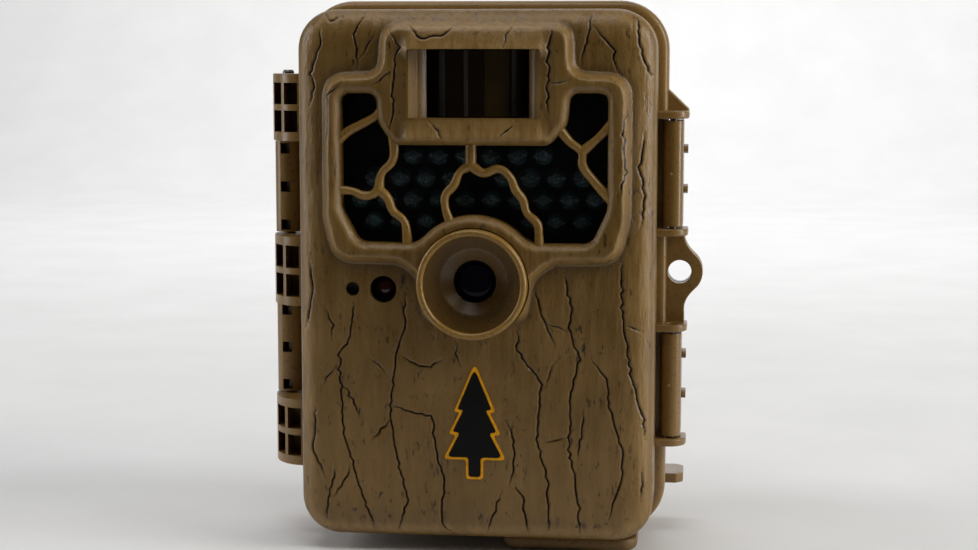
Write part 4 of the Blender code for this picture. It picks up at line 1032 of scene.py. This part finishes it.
back_rings = []
SIDE_CRACKS = ((12, 38), (30, 44), (60, 40), (78, 36), (98, 30), (20, 26), (48, 30))
side_lines = [list(zip(rng.uniform(-25, -7) + rng.normal(0, 1.2, 6), np.linspace(z0, z0 + length, 6)))
              for z0, length in SIDE_CRACKS]
side_lines = [np.array(wandering(stops)) for stops in side_lines]
for ring in open_loops():
    at = np.array([(v.co.x / MM, v.co.z / MM) for v in ring])
    depth = np.array([v.co.y / MM for v in ring])
    if np.ptp(at[:, 0]) < 80:
        levels = [0.35, 1.0]
        places = [[(x, y + (FLOOR_Y - y) * t, z) for (x, z), y in zip(at, depth)] for t in levels]
        back_rings.append(grow(ring, places, [np.zeros(len(ring))] * len(levels)))
        continue
    step = to_outline(at, case_outline(0))[1]
    outward = step / np.linalg.norm(step, axis=1)[:, None]
    edge_at = at + step
    marks_here = crack_near(edge_at[:, 0], edge_at[:, 1])
    places, marks = [], []
    base = FACE_Y + edge_drop(GRID_INSET)
    for inset in (0.85, 0.62, 0.42, 0.26, 0.12, 0.03):
        y = FACE_Y + edge_drop(np.array(inset))
        fade = (y - base) / (FACE_Y + EDGE_DEPTH - base)
        ridge_left = (depth - base) * (1 - fade)
        spot = edge_at - outward * (inset + 0.30 * marks_here)[:, None]
        places.append([(x, y + extra, z) for (x, z), extra in zip(spot, ridge_left * 0.9)])
        marks.append(marks_here * 0.9)
    for y in np.arange(FACE_Y + EDGE_DEPTH + 0.5, BACK_Y - 0.2, 0.55):
        side = np.abs(outward[:, 0]) > 0.9
        mark = marks_here * np.clip((-y - 16) / 9, 0, 1)
        for line in side_lines:
            beside = np.interp(at[:, 1], line[:, 1], line[:, 0], left=99, right=99)
            beside = np.where(outward[:, 0] > 0, beside, -32 - beside)
            mark = np.maximum(mark, np.where(side, np.exp(-((beside - y) / 0.4) ** 2), 0))
        spot = edge_at - outward * (0.32 * mark)[:, None]
        places.append([(x, y, z) for x, z in spot])
        marks.append(mark)
    for inset, y in ((0.0, BACK_Y), (2.2, BACK_Y), (2.2, -25.5), (3.2, FLOOR_Y)):
        places.append([(x, y, z) for x, z in edge_at - outward * inset])
        marks.append(np.zeros(len(ring)))
    back_rings.append(grow(ring, places, marks))
back_edges = []
for ring in back_rings:
    for here, there in zip(ring, ring[1:] + ring[:1]):
        back_edges.append(bm.edges.get((here, there)))
bmesh.ops.triangle_fill(bm, edges=back_edges, use_beauty=False, use_dissolve=False)

BARK, tree, shader = new_finish("rubbed_bark_plastic")


def painted(name):
    """A value that the cover's mesh carries at each point."""
    node = tree.nodes.new("ShaderNodeAttribute")
    node.attribute_name = name
    return node.outputs["Fac"]


def times(first, second):
    made = tree.nodes.new("ShaderNodeMath")
    made.operation = "MULTIPLY"
    tree.links.new(first, made.inputs[0])
    tree.links.new(second, made.inputs[1])
    return made.outputs[0]


streaks = noise_over(tree, 0.55, 5, (1, 1, 0.16))
cloud = noise_over(tree, 0.045, 3)
flecks = noise_over(tree, 0.9, 3, (1, 1, 0.45))
scratches = noise_over(tree, 0.62, 6, (1, 1, 0.35))
fine = noise_over(tree, 2.2, 3, (1, 1, 0.6))
tone = ramp(tree, cloud, [(0.32, (0.146, 0.080, 0.018)), (0.52, (0.180, 0.100, 0.024)),
                          (0.74, (0.222, 0.128, 0.035))])
tone = blended(tree, remap(tree, streaks, 0.42, 0.68, 0.0, 0.35), tone, (0.255, 0.152, 0.046))
clusters = remap(tree, noise_over(tree, 0.16, 2), 0.44, 0.62, 0.0, 1.0)
for marks, deep, faint, ink in ((flecks, 0.33, 0.40, (0.045, 0.025, 0.007)),
                                (scratches, 0.31, 0.37, (0.024, 0.013, 0.004))):
    nicks = times(remap(tree, marks, deep, faint, 0.95, 0.0), clusters)
    tone = blended(tree, nicks, tone, ink)
tone = blended(tree, remap(tree, painted("shade"), 0.0, 1.0, 0.0, 0.42), tone, (0.060, 0.038, 0.017))
# Painted paler where the mesh's marks say so: wear together with painted highlight.
wear_and_highlight_share = times(painted("wear_and_highlight"), remap(tree, streaks, 0.30, 0.62, 0.25, 1.0))
tone = blended(tree, wear_and_highlight_share, tone, (0.330, 0.200, 0.068))
tone = blended(tree, remap(tree, painted("crack"), 0.18, 0.62, 0.0, 1.0), tone, (0.013, 0.008, 0.003))
tree.links.new(tone, shader.inputs["Base Color"])
tree.links.new(remap(tree, streaks, 0.3, 0.7, 0.27, 0.46), shader.inputs["Roughness"])
shader.inputs["Specular IOR Level"].default_value = 0.42
leather = noise_over(tree, 0.30, 3, (1, 1, 0.5))
relief(tree, shader, [(leather, 0.34), (streaks, 0.22), (flecks, 0.10), (fine, 0.09)])
dress(to_object("bark_cover", bm), BARK, "door", "bark_plastic", ["front_cover"], sharp=70)

# ---------------------------------------------------------------------------------------
# Branches: thin rounded webs of the same plastic that cross the infrared window like
# twigs. They swell where two meet and run out into the ridge at their ends.
BRANCHES = [
    [(-35.0, 104.6), (-31.5, 107.6), (-27.2, 109.9), (-24.4, 111.6), (-22.0, 114.5)],
    [(-20.0, 107.0), (-20.2, 100.6), (-23.0, 97.2), (-23.8, 93.2)],
    [(-35.6, 92.9), (-30.5, 92.8), (-27.6, 91.7), (-25.4, 92.0), (-23.8, 93.2)],
    [(-23.8, 93.2), (-21.6, 91.2), (-20.2, 88.0), (-17.4, 85.4), (-16.8, 83.0), (-16.6, 77.8)],
    [(-0.6, 106.4), (-0.6, 99.4)],
    [(-0.6, 99.4), (-3.2, 97.8), (-4.8, 94.6), (-7.0, 91.8), (-7.0, 89.0), (-5.2, 83.6)],
    [(-0.6, 99.4), (2.6, 97.6), (6.4, 98.6), (9.2, 96.6), (10.6, 93.4), (12.4, 91.0), (13.4, 87.8),
     (16.0, 85.0), (16.4, 82.5), (16.4, 77.8)],
    [(21.0, 109.0), (24.0, 105.4), (26.9, 102.8), (27.2, 99.6), (29.6, 96.2), (35.4, 89.8)],
    [(35.2, 110.8), (30.8, 106.2), (26.9, 102.8)]]
WEB_R, WEB_AXIS_Y, WEB_END_DIP, WEB_END_SWELL = 1.08, -31.1, 0.25, 1.28
SMOOTH_BROWN = moulded_plastic("smooth_brown", (0.27, 0.150, 0.032), vary=0.10, gloss=0.24, grain=0.01)

for number, stops in enumerate(BRANCHES, 1):
    web = round_wire(f"web_line_{number}", WEB_R, 5)
    web.resolution_u = 8
    line = web.splines.new("BEZIER")
    line.bezier_points.add(len(stops) - 1)
    for i, (point, (x, z)) in enumerate(zip(line.bezier_points, stops)):
        last = i in (0, len(stops) - 1)
        point.co = (x * MM, (WEB_AXIS_Y + (WEB_END_DIP if last else 0)) * MM, z * MM)
        point.handle_left_type = point.handle_right_type = "AUTO"
        point.radius = WEB_END_SWELL if last else (1.0, 0.90, 1.08)[(i + number) % 3]
    dress(solid_rod(f"branch_web_{number}", web), SMOOTH_BROWN, "door", "bark_plastic", sharp=50)

# ---------------------------------------------------------------------------------------
# Emblem: a plain fir tree in printed foil on the cover's lower half. The orange foil is
# pressed on first and a black one on top, so that the orange shows as an outline.
EMBLEM_X, EMBLEM_FOOT_Z = 0.2, 20.6
FIR = [(-1.5, 0), (1.5, 0), (1.5, 5.0), (6.9, 5.0), (3.6, 11.4), (5.6, 11.4), (2.7, 17.2), (4.3, 17.2),
       (0, 27.6), (-4.3, 17.2), (-2.7, 17.2), (-5.6, 11.4), (-3.6, 11.4), (-6.9, 5.0), (-1.5, 5.0)]


def grown(outline, by):
    """The outline moved outwards by a fixed distance."""
    found = []
    count = len(outline)
    for i, here in enumerate(outline):
        before = (Vector(here) - Vector(outline[i - 1])).normalized()
        after = (Vector(outline[(i + 1) % count]) - Vector(here)).normalized()
        corner = Vector((before.y, -before.x)) + Vector((after.y, -after.x))
        found.append(tuple(Vector(here) + corner * by / max(1 + before.dot(after), 0.35)))
    return found


def printed_foil(name, colour, rough):
    """Printed foil, with a slight mottle where it follows the bark under it."""
    made, tree, shader = new_finish(name)
    mottle = noise_over(tree, 0.7, 4)
    tree.links.new(ramp(tree, mottle, [(0.3, tuple(c * 0.7 for c in colour)), (0.6, colour)]),
                   shader.inputs["Base Color"])
    tree.links.new(remap(tree, mottle, 0.3, 0.7, rough - 0.06, rough + 0.1), shader.inputs["Roughness"])
    shader.inputs["Specular IOR Level"].default_value = 0.15
    relief(tree, shader, [(mottle, 0.02)])
    return made


for name, colour, by, front in (("emblem_outline", (0.95, 0.42, 0.008), 0.66, 0.26),
                                ("emblem_fir", (0.004, 0.004, 0.004), 0.05, 0.34)):
    shape = rounded_path([(x, z, 0.8) for x, z in grown(FIR, by)], 3)
    moulded(name, [(x + EMBLEM_X, z + EMBLEM_FOOT_Z) for x, z in shape], FACE_Y - front, FACE_Y + 0.6, "y",
            printed_foil(f"{name}_foil", colour, 0.42), "door", "bark_plastic", sharp=40)

# ---------------------------------------------------------------------------------------
# Lens shroud: a smooth brown collar with a rolled rim, and pressed into it a matt sleeve
# whose fine steps kill stray light. The sleeve's brown is painted darker than the collar's, as
# painted shade inside the shroud. Both are moulded plastic and clip in behind the cover.
STEPS, STEP_LIP = 7, 0.28
STEP_OUTER_R, STEP_INNER_R = 12.0, 8.2
STEP_FRONT_Y, STEP_BACK_Y = -35.2, -29.8

profile = [(16.0, -24.6), (16.0, -25.6), (13.8, -25.6), (13.8, -34.4)]
profile += arc(12.95, -34.9, 0.9, 15, -165, 12, 1.05)[1:]
profile += [(12.35, -34.4), (12.35, -24.6)]
turned_piece("shroud_collar", "y", LENS_PLACE, profile, 144,
             SMOOTH_BROWN, "door", "brown_plastic", ["lens_shroud"], sharp=28)

# Painted shade: the sleeve is the collar's plastic, coloured about half as light for the shade deep in the
# shroud.
SHADED_MATT_BROWN = moulded_plastic("matt_brown_painted_shade", (0.140, 0.074, 0.015), vary=0.12, gloss=0.32, grain=0.02)
profile = [(12.33, -24.7), (12.33, -35.0)]
tread = (STEP_OUTER_R - STEP_INNER_R) / STEPS
rise = (STEP_BACK_Y - STEP_FRONT_Y) / STEPS
for number in range(STEPS):
    r, y = STEP_OUTER_R - number * tread, STEP_FRONT_Y + number * rise
    profile += [(r, y), (r + STEP_LIP, y + 0.22 * rise), (r + STEP_LIP, y + 0.85 * rise),
                (r - 0.10, y + 0.95 * rise)]
profile += [(STEP_INNER_R - 0.1, STEP_BACK_Y + 0.3), (5.4, -27.6), (5.4, -26.8), (7.6, -26.2),
            (7.6, -24.7)]
turned_piece("stepped_sleeve", "y", LENS_PLACE, profile, 144, SHADED_MATT_BROWN, "door", "brown_plastic", sharp=28)

# ---------------------------------------------------------------------------------------
# Lens: a ribbed barrel flocked black, on its own small board, with a coated front glass
# held in its mouth.
BLACK = moulded_plastic("black_plastic", (0.012, 0.012, 0.012), vary=0.25, gloss=0.40, grain=0.03)
FLOCKED = moulded_plastic("flocked_black", (0.003, 0.003, 0.003), vary=0.3, gloss=0.75, grain=0.02)
FLOCKED.node_tree.nodes["Principled BSDF"].inputs["Specular IOR Level"].default_value = 0.08
barrel_low, barrel_high = span("lens_barrel")
glass_low, glass_high = span("lens_glass")
radius = (barrel_high.x - barrel_low.x) / 2
front, back = barrel_low.y, barrel_high.y
bore = 4.55
profile = [(0.02, front + 4.6), (bore - 1.0, front + 4.6), (bore, front + 3.4), (bore, front + 0.2),
           (bore + 0.3, front), (radius - 0.3, front), (radius, front + 0.3)]
for ridge in range(9):
    y = front + 1.6 + ridge
    profile += [(radius, y), (radius - 0.3, y + 0.4), (radius - 0.3, y + 0.6)]
profile += [(radius, back), (0.02, back)]
turned_piece("ribbed_barrel", "y", LENS_PLACE, profile, 64,
             FLOCKED, "door", "black_plastic", ["lens_barrel"], sharp=28)

COATED_GLASS, tree, shader = new_finish("coated_glass")
tint = noise_over(tree, 0.10, 2)
shader.inputs["Specular IOR Level"].default_value = 0.10
tree.links.new(ramp(tree, tint, [(0.3, (0.004, 0.004, 0.010)), (0.7, (0.012, 0.006, 0.018))]),
               shader.inputs["Base Color"])
tree.links.new(remap(tree, noise_over(tree, 0.6), 0.3, 0.7, 0.02, 0.06), shader.inputs["Roughness"])
relief(tree, shader, [(noise_over(tree, 0.2, 1), 0.002)])
radius = (glass_high.x - glass_low.x) / 2
dome = arc(0, glass_high.y - 0.7, radius - 0.05, 0, 88, 14, 0.45)
profile = [(0.02, glass_high.y), (radius, glass_high.y), (radius, glass_high.y - 0.6)]
profile += [(r, 2 * (glass_high.y - 0.7) - y) for r, y in dome] + [(0.02, glass_high.y - 1.15)]
turned_piece("front_glass", "y", LENS_PLACE, profile, 64,
             COATED_GLASS, "door", "glass", ["lens_glass"], sharp=50)

# ---------------------------------------------------------------------------------------
# Infrared window: one flat pane of smoked acrylic behind the cover. It looks black, but
# the lamps behind it just show through.
SMOKED = clear_skin("smoked_acrylic", (0.002, 0.003, 0.004), 0.22, 0.05)
window_low, window_high = span("ir_window")
gaps = bmesh.new()
block(gaps, (SENSOR_MIDDLE[0] - 17.5, -30, SENSOR_MIDDLE[1] - 10.2),
      (SENSOR_MIDDLE[0] + 17.5, -20, SENSOR_MIDDLE[1] + 10.2))
round_gap = bmesh.new()
round_bar(round_gap, "y", (LENS_PLACE[0], -30, LENS_PLACE[1]), 10, 14.1, 96)
moulded("smoked_pane", rounded_plate(window_low.x, window_high.x, window_low.z, window_high.z, 4),
        window_low.y, window_high.y, "y", SMOKED, "door", "smoked_plastic", ["ir_window"], edge=0.2,
        cuts=[gaps, round_gap])

# ---------------------------------------------------------------------------------------
# Motion sensor: a bowed strip of dark film, pressed with upright lens zones, between two
# brown stepped cheeks. Four of its zones look grey or olive. A sensor in a steel can stands
# behind it.
film_low, film_high = span("pir_lens")
FILM_AXIS_Y, FILM_R = -7.4, 22.0
sensor_x, sensor_z = SENSOR_MIDDLE
ZONES, ZONE_POINTS, BACK_POINTS = 14, 4, 40


def film_point(x, lift=0.0):
    """The place on the film's bow at a given x, in (x, y)."""
    turn = math.asin((x - sensor_x) / FILM_R)
    return (sensor_x + (FILM_R + lift) * math.sin(turn), FILM_AXIS_Y - (FILM_R + lift) * math.cos(turn))


FILM = clear_skin("dark_film", (0.016, 0.007, 0.001), 1.0, 0.20)
RIB_FILM = clear_skin("grey_film_rib", (0.060, 0.056, 0.050), 1.0, 0.40)
OLIVE_FILM = clear_skin("olive_film_zone", (0.050, 0.030, 0.003), 1.0, 0.30)
reach = 16.9
front_face = []
for zone in range(ZONES):
    x0 = sensor_x - reach + 2 * reach * zone / ZONES
    for k in range(ZONE_POINTS):
        x = x0 + 2 * reach / ZONES * k / ZONE_POINTS
        front_face.append(film_point(x, -0.14 + 0.05 * math.sin(math.pi * (k + 0.5) / ZONE_POINTS)))
back_face = [film_point(sensor_x + reach - 2 * reach * k / BACK_POINTS, -0.95)
             for k in range(BACK_POINTS + 1)]
moulded("lens_film", front_face + back_face, film_low.z, film_high.z, "z",
        FILM, "door", "smoked_plastic", ["pir_lens"], sharp=12)
for number, (x0, x1, paint, lift) in enumerate((
        (-9.1, -7.5, RIB_FILM, 0.0), (-2.6, -1.5, RIB_FILM, 0.0), (9.3, 10.4, RIB_FILM, 0.0),
        (2.6, 8.9, OLIVE_FILM, -0.03)), 1):
    strip = [film_point(x0, -0.4), film_point(x0, lift - 0.1)]
    strip += [film_point(x0 + (x1 - x0) * k / 8, lift) for k in range(1, 8)]
    strip += [film_point(x1, lift - 0.1), film_point(x1, -0.4)]
    moulded(f"film_zone_{number}", strip, film_low.z, film_high.z, "z",
            paint, "door", "smoked_plastic", edge=0.08)

bm = bmesh.new()
inner_left, inner_right = -11.9, 13.7
left = [(-16.3, -33.1), (-15.9, -33.1), (-13.9, -31.6), (-13.9, -31.0), (-13.4, -30.8), (inner_left, -29.2),
        (inner_left, -28.3), (-16.3, -28.3)]
right = [(17.0, -33.1), (16.6, -33.1), (15.5, -31.6), (15.5, -31.0), (15.1, -30.8), (inner_right, -29.2),
         (inner_right, -28.3), (17.0, -28.3)]
for side in (left, right):
    carried(bm, side, sensor_z - 8.55, sensor_z + 8.55, "z")
dress(to_object("sensor_frame", bm), BROWN, "door", "bark_plastic", edge=0.12)

low, high = span("pir_sensor")
radius = (high.x - low.x) / 2
turned_piece("sensor_can", "y", SENSOR_MIDDLE,
             [(0.02, low.y), (2.6, low.y), (radius - 0.6, low.y), (radius - 0.25, low.y + 0.3),
              (radius - 0.25, high.y - 0.6), (radius, high.y - 0.5), (radius, high.y), (0.02, high.y)],
             48, STEEL, "door", "steel", ["pir_sensor"], sharp=30)

# ---------------------------------------------------------------------------------------
# Small holes beside the lens: a dark red epoxy light sensor sits in the larger, and the
# microphone's black capsule in the smaller. Both are glued in from behind.
low, high = span("light_sensor")
radius = (high.x - low.x) / 2
bulb = [(r, 2 * (low.y + 1.6) - y) for r, y in arc(0, low.y + 1.6, radius, 0, 88, 10, 1.6)]
RED_EPOXY = clear_skin("dark_red_epoxy", (0.060, 0.010, 0.005), 1.0, 0.10)
turned_piece("light_sensor_bulb", "y", face_middle(low, high),
             [(0.02, high.y), (radius, high.y)] + bulb + [(0.02, low.y)], 40,
             RED_EPOXY, "door", "smoked_plastic", ["light_sensor"], sharp=50)
low, high = span("microphone")
radius = (high.x - low.x) / 2
turned_piece("microphone_capsule", "y", face_middle(low, high),
             [(0.02, low.y + 0.5), (0.5, low.y + 0.5), (0.6, low.y + 0.2), (radius - 0.5, low.y + 0.2),
              (radius - 0.3, low.y), (radius, low.y + 0.2), (radius, high.y), (0.02, high.y)], 36,
             BLACK, "door", "black_plastic", ["microphone"], sharp=30)

# ---------------------------------------------------------------------------------------
# Boards: the lens has a small green board of its own, and the main board lies behind it
# with three chips, the steel card socket, the block of sockets at the bottom and the
# contacts that meet the case's.
for name, paint, slot in (
        ("camera_board", BOARD_GREEN, "circuit_board"), ("main_board", BOARD_GREEN, "circuit_board"),
        ("sd_socket", STEEL, "steel"), ("port_block", BLACK, "black_plastic"),
        ("door_contacts", BLACK, "black_plastic")):
    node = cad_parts[name]
    node.data.materials.clear()
    node.data.materials.append(paint)
chips = bmesh.new()
for low, high in (((-13, -11.9, 89), (-1, -10.9, 101)), ((9, -11.4, 91), (17, -10.5, 99)),
                  ((21, -11.9, 109), (31, -10.9, 121))):
    block(chips, low, high)
dress(to_object("board_chips", chips), BLACK, "door", "black_plastic", edge=0.2)

# ---------------------------------------------------------------------------------------
# Inner panel: the grey plate that closes the door from behind. It frames the display and
# keeps the keys, the power switch and the card in place. Four screws hold it.
panel_low, panel_high = span("inner_panel")
KEYS = ("button_up", "button_down", "button_left", "button_right", "button_enter", "button_menu")
key_boxes = {name: span(name) for name in KEYS}
card_low, card_high = span("sd_card")
switch_low, switch_high = span("power_switch")

KEY_HOLE = 3.5
openings = [(-19, 19, 76, 104, 1.2)]
for box in key_boxes.values():
    x, z = face_middle(*box)
    openings.append((x - KEY_HOLE, x + KEY_HOLE, z - KEY_HOLE, z + KEY_HOLE, 1.6))
openings += [(-25.2, -14.8, 60.2, 63.8, 0.8), (card_low.x - 2, card_high.x + 2, 14, 31, 1.5),
             (-36.5, -27.5, 112, 116, 0.6)]
holes = bmesh.new()
for opening in openings:
    carried(holes, rounded_plate(*opening), -6, 2, "y")
panel_screws = [span(f"panel_screw_{number}") for number in range(1, 5)]
drill_at(holes, [face_middle(*box) for box in panel_screws], -8, 10, SCREW_HOLE_R)
bm = bmesh.new()
case_loft(bm, [(panel_low.y, 4.75), (panel_high.y - 0.5, 4.75), (panel_high.y, 5.3)])
dress(to_object("grey_inner_panel", bm), GREY, "door", "grey_plastic", ["inner_panel"], edge=0.2,
      cuts=[holes])
for number, (low, high) in enumerate(panel_screws, 1):
    pan_head(f"panel_screw_{number}", low, high, "door")

raised = bmesh.new()
for x0, x1, z0, z1, radius in ((-21.5, 21.5, 73.5, 106.5, 2.2), (2.6, 35.4, 31.6, 65.4, 3.0)):
    outer = rounded_plate(x0, x1, z0, z1, radius)
    inner = rounded_plate(x0 + 0.9, x1 - 0.9, z0 + 0.9, z1 - 0.9, radius - 0.6)
    loft(raised, [[(x, y, z) for x, z in ring] for ring, y in
                  ((outer, -1.3), (outer, -0.75), (inner, -0.75), (inner, -1.3))], closed=True)
dress(to_object("panel_frames", raised), GREY, "door", "grey_plastic", edge=0.15)

DISPLAY, tree, shader = new_finish("display_glass")
where = tree.nodes.new("ShaderNodeTexCoord")
cells = tree.nodes.new("ShaderNodeTexChecker")
cells.inputs["Scale"].default_value = 1 / (0.35 * MM)
cells.inputs["Color1"].default_value = (0.012, 0.014, 0.016, 1)
cells.inputs["Color2"].default_value = (0.018, 0.021, 0.024, 1)
tree.links.new(where.outputs["Object"], cells.inputs["Vector"])
tree.links.new(cells.outputs["Color"], shader.inputs["Base Color"])
tree.links.new(remap(tree, noise_over(tree, 0.06), 0.35, 0.7, 0.06, 0.2), shader.inputs["Roughness"])
relief(tree, shader, [(noise_over(tree, 0.3, 1), 0.003)])
low, high = span("lcd_display")
moulded("display_module", rounded_plate(low.x, high.x, low.z, high.z, 0.8), low.y, high.y, "y",
        DISPLAY, "door", "glass", ["lcd_display"], edge=0.25)

# ---------------------------------------------------------------------------------------
# Keys, switch and card: six soft-cornered black keys with a dished top, a ribbed slide
# knob, and a memory card that pushes in and springs back.
KEY_HALF = 3.2
for name, (low, high) in key_boxes.items():
    x, z = face_middle(low, high)
    foot = (high.x - low.x) / 2
    rings = []
    for inset, y in ((KEY_HALF - foot, low.y), (KEY_HALF - foot, -3.75), (0.0, -3.7), (0.0, high.y - 0.7),
                     (0.12, high.y - 0.3), (0.45, high.y - 0.05), (0.8, high.y), (1.1, high.y - 0.05),
                     (2.0, high.y - 0.28), (3.0, high.y - 0.38)):
        size = KEY_HALF - inset
        ring = rounded_plate(-size, size, -size, size, min(1.5, 0.8 * size))
        rings.append([(x + a, y, z + b) for a, b in ring])
    bm = bmesh.new()
    loft(bm, rings)
    dress(to_object(f"{name}_key", bm), BLACK, name, "black_plastic", [name], sharp=45)

bm = bmesh.new()
block(bm, (switch_low.x, switch_low.y, switch_low.z), (switch_high.x, switch_high.y - 0.4, switch_high.z))
for number in range(3):
    x = switch_low.x + 0.35 + number * 0.95
    block(bm, (x, switch_high.y - 0.6, switch_low.z + 0.2), (x + 0.5, switch_high.y, switch_high.z - 0.2))
dress(to_object("switch_knob", bm), BLACK, "power_switch", "black_plastic", ["power_switch"], edge=0.12)

CARD = moulded_plastic("card_plastic", (0.030, 0.050, 0.120), vary=0.12, gloss=0.38, grain=0.02)
outline = [(card_low.x, card_low.z), (card_high.x, card_low.z), (card_high.x, card_high.z - 3.2),
           (card_high.x - 3.2, card_high.z), (card_low.x, card_high.z)]
grips = bmesh.new()
for number in range(3):
    z = card_low.z + 1.4 + number * 1.1
    block(grips, (card_low.x + 6, card_high.y - 0.25, z), (card_high.x - 6, card_high.y + 1, z + 0.5))
moulded("memory_card", rounded_path([(x, z, 0.8) for x, z in outline], 3), card_low.y, card_high.y, "y",
        CARD, "sd_card", "card_plastic", ["sd_card"], edge=0.12, cuts=[grips])

# ---------------------------------------------------------------------------------------
# Port cover: a brown rubber flap moulded with a rounded belly. It closes the sockets under
# the front right corner and swings down on its back edge.
BROWN_RUBBER = moulded_plastic("brown_rubber", (0.150, 0.082, 0.020), vary=0.18, gloss=0.55, grain=0.05)
low, high = span("port_cover")
rings = []
for inset, z in ((1.6, high.z), (0.3, high.z), (0.0, high.z - 0.4), (0.0, low.z + 1.5), (0.3, low.z + 0.8),
                 (1.0, low.z + 0.3), (2.2, low.z + 0.05), (4.0, low.z)):
    ring = rounded_plate(low.x + inset, high.x - inset, low.y + inset, high.y - inset,
                         max(4.2 - inset, 1.0))
    rings.append([(x, y, z) for x, y in ring])
bm = bmesh.new()
loft(bm, rings)
dress(to_object("port_flap", bm), BROWN_RUBBER, "port_cover", "brown_rubber", ["port_cover"], sharp=45)

# ---------------------------------------------------------------------------------------
# Studio: a pale paper sweep under and behind the object, a tall soft light at either side,
# a small warm one high at the front right, a weak one overhead and one on the paper behind.
# The camera stands a little to the object's right and a little above it.
AIM = Vector((3.85, -30.0, 72.0)) * MM
AZIMUTH, ELEVATION, DISTANCE = math.radians(6.5), math.radians(6.6), 0.480
FOCAL_LENGTH, FRAME_WIDTH = 70.7, 36.0

PAPER, tree, shader = new_finish("pale_paper")
paper_tone = ramp(tree, noise_over(tree, 0.02, 3), [(0.3, (0.80, 0.80, 0.80)), (0.7, (0.84, 0.84, 0.84))])
tree.links.new(paper_tone, shader.inputs["Base Color"])
shader.inputs["Roughness"].default_value = 0.9
sweep_front, sweep_back, sweep_bend, sweep_top, half_width = -0.22, 1.1, 0.35, 2.4, 2.2
bm = bmesh.new()
line = [(sweep_front, 0.0), (0.0, 0.0)] + arc(sweep_back, sweep_bend, sweep_bend, -90, 0, 16)
line.append((sweep_back + sweep_bend, sweep_top))
rail = [[bm.verts.new((side * half_width, y, z)) for y, z in line] for side in (-1, 1)]
for i in range(len(line) - 1):
    bm.faces.new((rail[0][i], rail[1][i], rail[1][i + 1], rail[0][i + 1]))
floor = to_object("paper_sweep", bm)
floor.data.materials.append(PAPER)
floor.data.shade_smooth()


def softbox(name, place, aim, width, height, watts, colour=(1.0, 1.0, 1.0)):
    lamp = bpy.data.lights.new(name, "AREA")
    lamp.shape = "RECTANGLE"
    lamp.size, lamp.size_y = width, height
    lamp.energy = watts
    lamp.color = colour
    made = bpy.data.objects.new(name, lamp)
    made.location = place
    made.rotation_euler = (Vector(aim) - Vector(place)).to_track_quat("-Z", "Y").to_euler()
    bpy.context.scene.collection.objects.link(made)


softbox("light_right", (0.75, -0.10, 0.25), AIM, 0.20, 0.6, 3.6)
softbox("light_key", (0.52, -0.26, 0.50), AIM, 0.18, 0.18, 0.9, (1.0, 0.95, 0.84))
softbox("light_left", (-0.72, -0.07, 0.30), AIM, 0.20, 0.6, 2.2)
softbox("light_top", (-0.05, -0.12, 0.42), (0.0, -0.03, 0.11), 0.35, 0.12, 0.42)
softbox("light_paper", (0.0, 0.55, 1.1), (0.0, 1.3, 0.5), 1.4, 0.3, 17.0)

# The air round the studio is dim, but what lies beyond the paper is seen as white.
world = bpy.data.worlds.new("studio_air")
world.use_nodes = True
air = world.node_tree
background = air.nodes["Background"]
background.inputs["Color"].default_value = (1, 1, 1, 1)
seen = air.nodes.new("ShaderNodeLightPath")
strength = air.nodes.new("ShaderNodeMapRange")
strength.inputs["To Min"].default_value = 0.02
strength.inputs["To Max"].default_value = 1.0
air.links.new(seen.outputs["Is Camera Ray"], strength.inputs["Value"])
air.links.new(strength.outputs["Result"], background.inputs["Strength"])
bpy.context.scene.world = world
bpy.context.scene.view_settings.view_transform = "Standard"

eye = bpy.data.cameras.new("studio_camera")
eye.lens = FOCAL_LENGTH
eye.sensor_width = FRAME_WIDTH
eye.clip_start, eye.clip_end = 0.02, 20.0
camera = bpy.data.objects.new("studio_camera", eye)
back = Vector((math.sin(AZIMUTH) * math.cos(ELEVATION), -math.cos(AZIMUTH) * math.cos(ELEVATION),
               math.sin(ELEVATION)))
camera.location = AIM + back * DISTANCE
camera.rotation_mode = "QUATERNION"
camera.rotation_quaternion = (-back).to_track_quat("-Z", "Y")
bpy.context.scene.collection.objects.link(camera)
bpy.context.scene.camera = camera
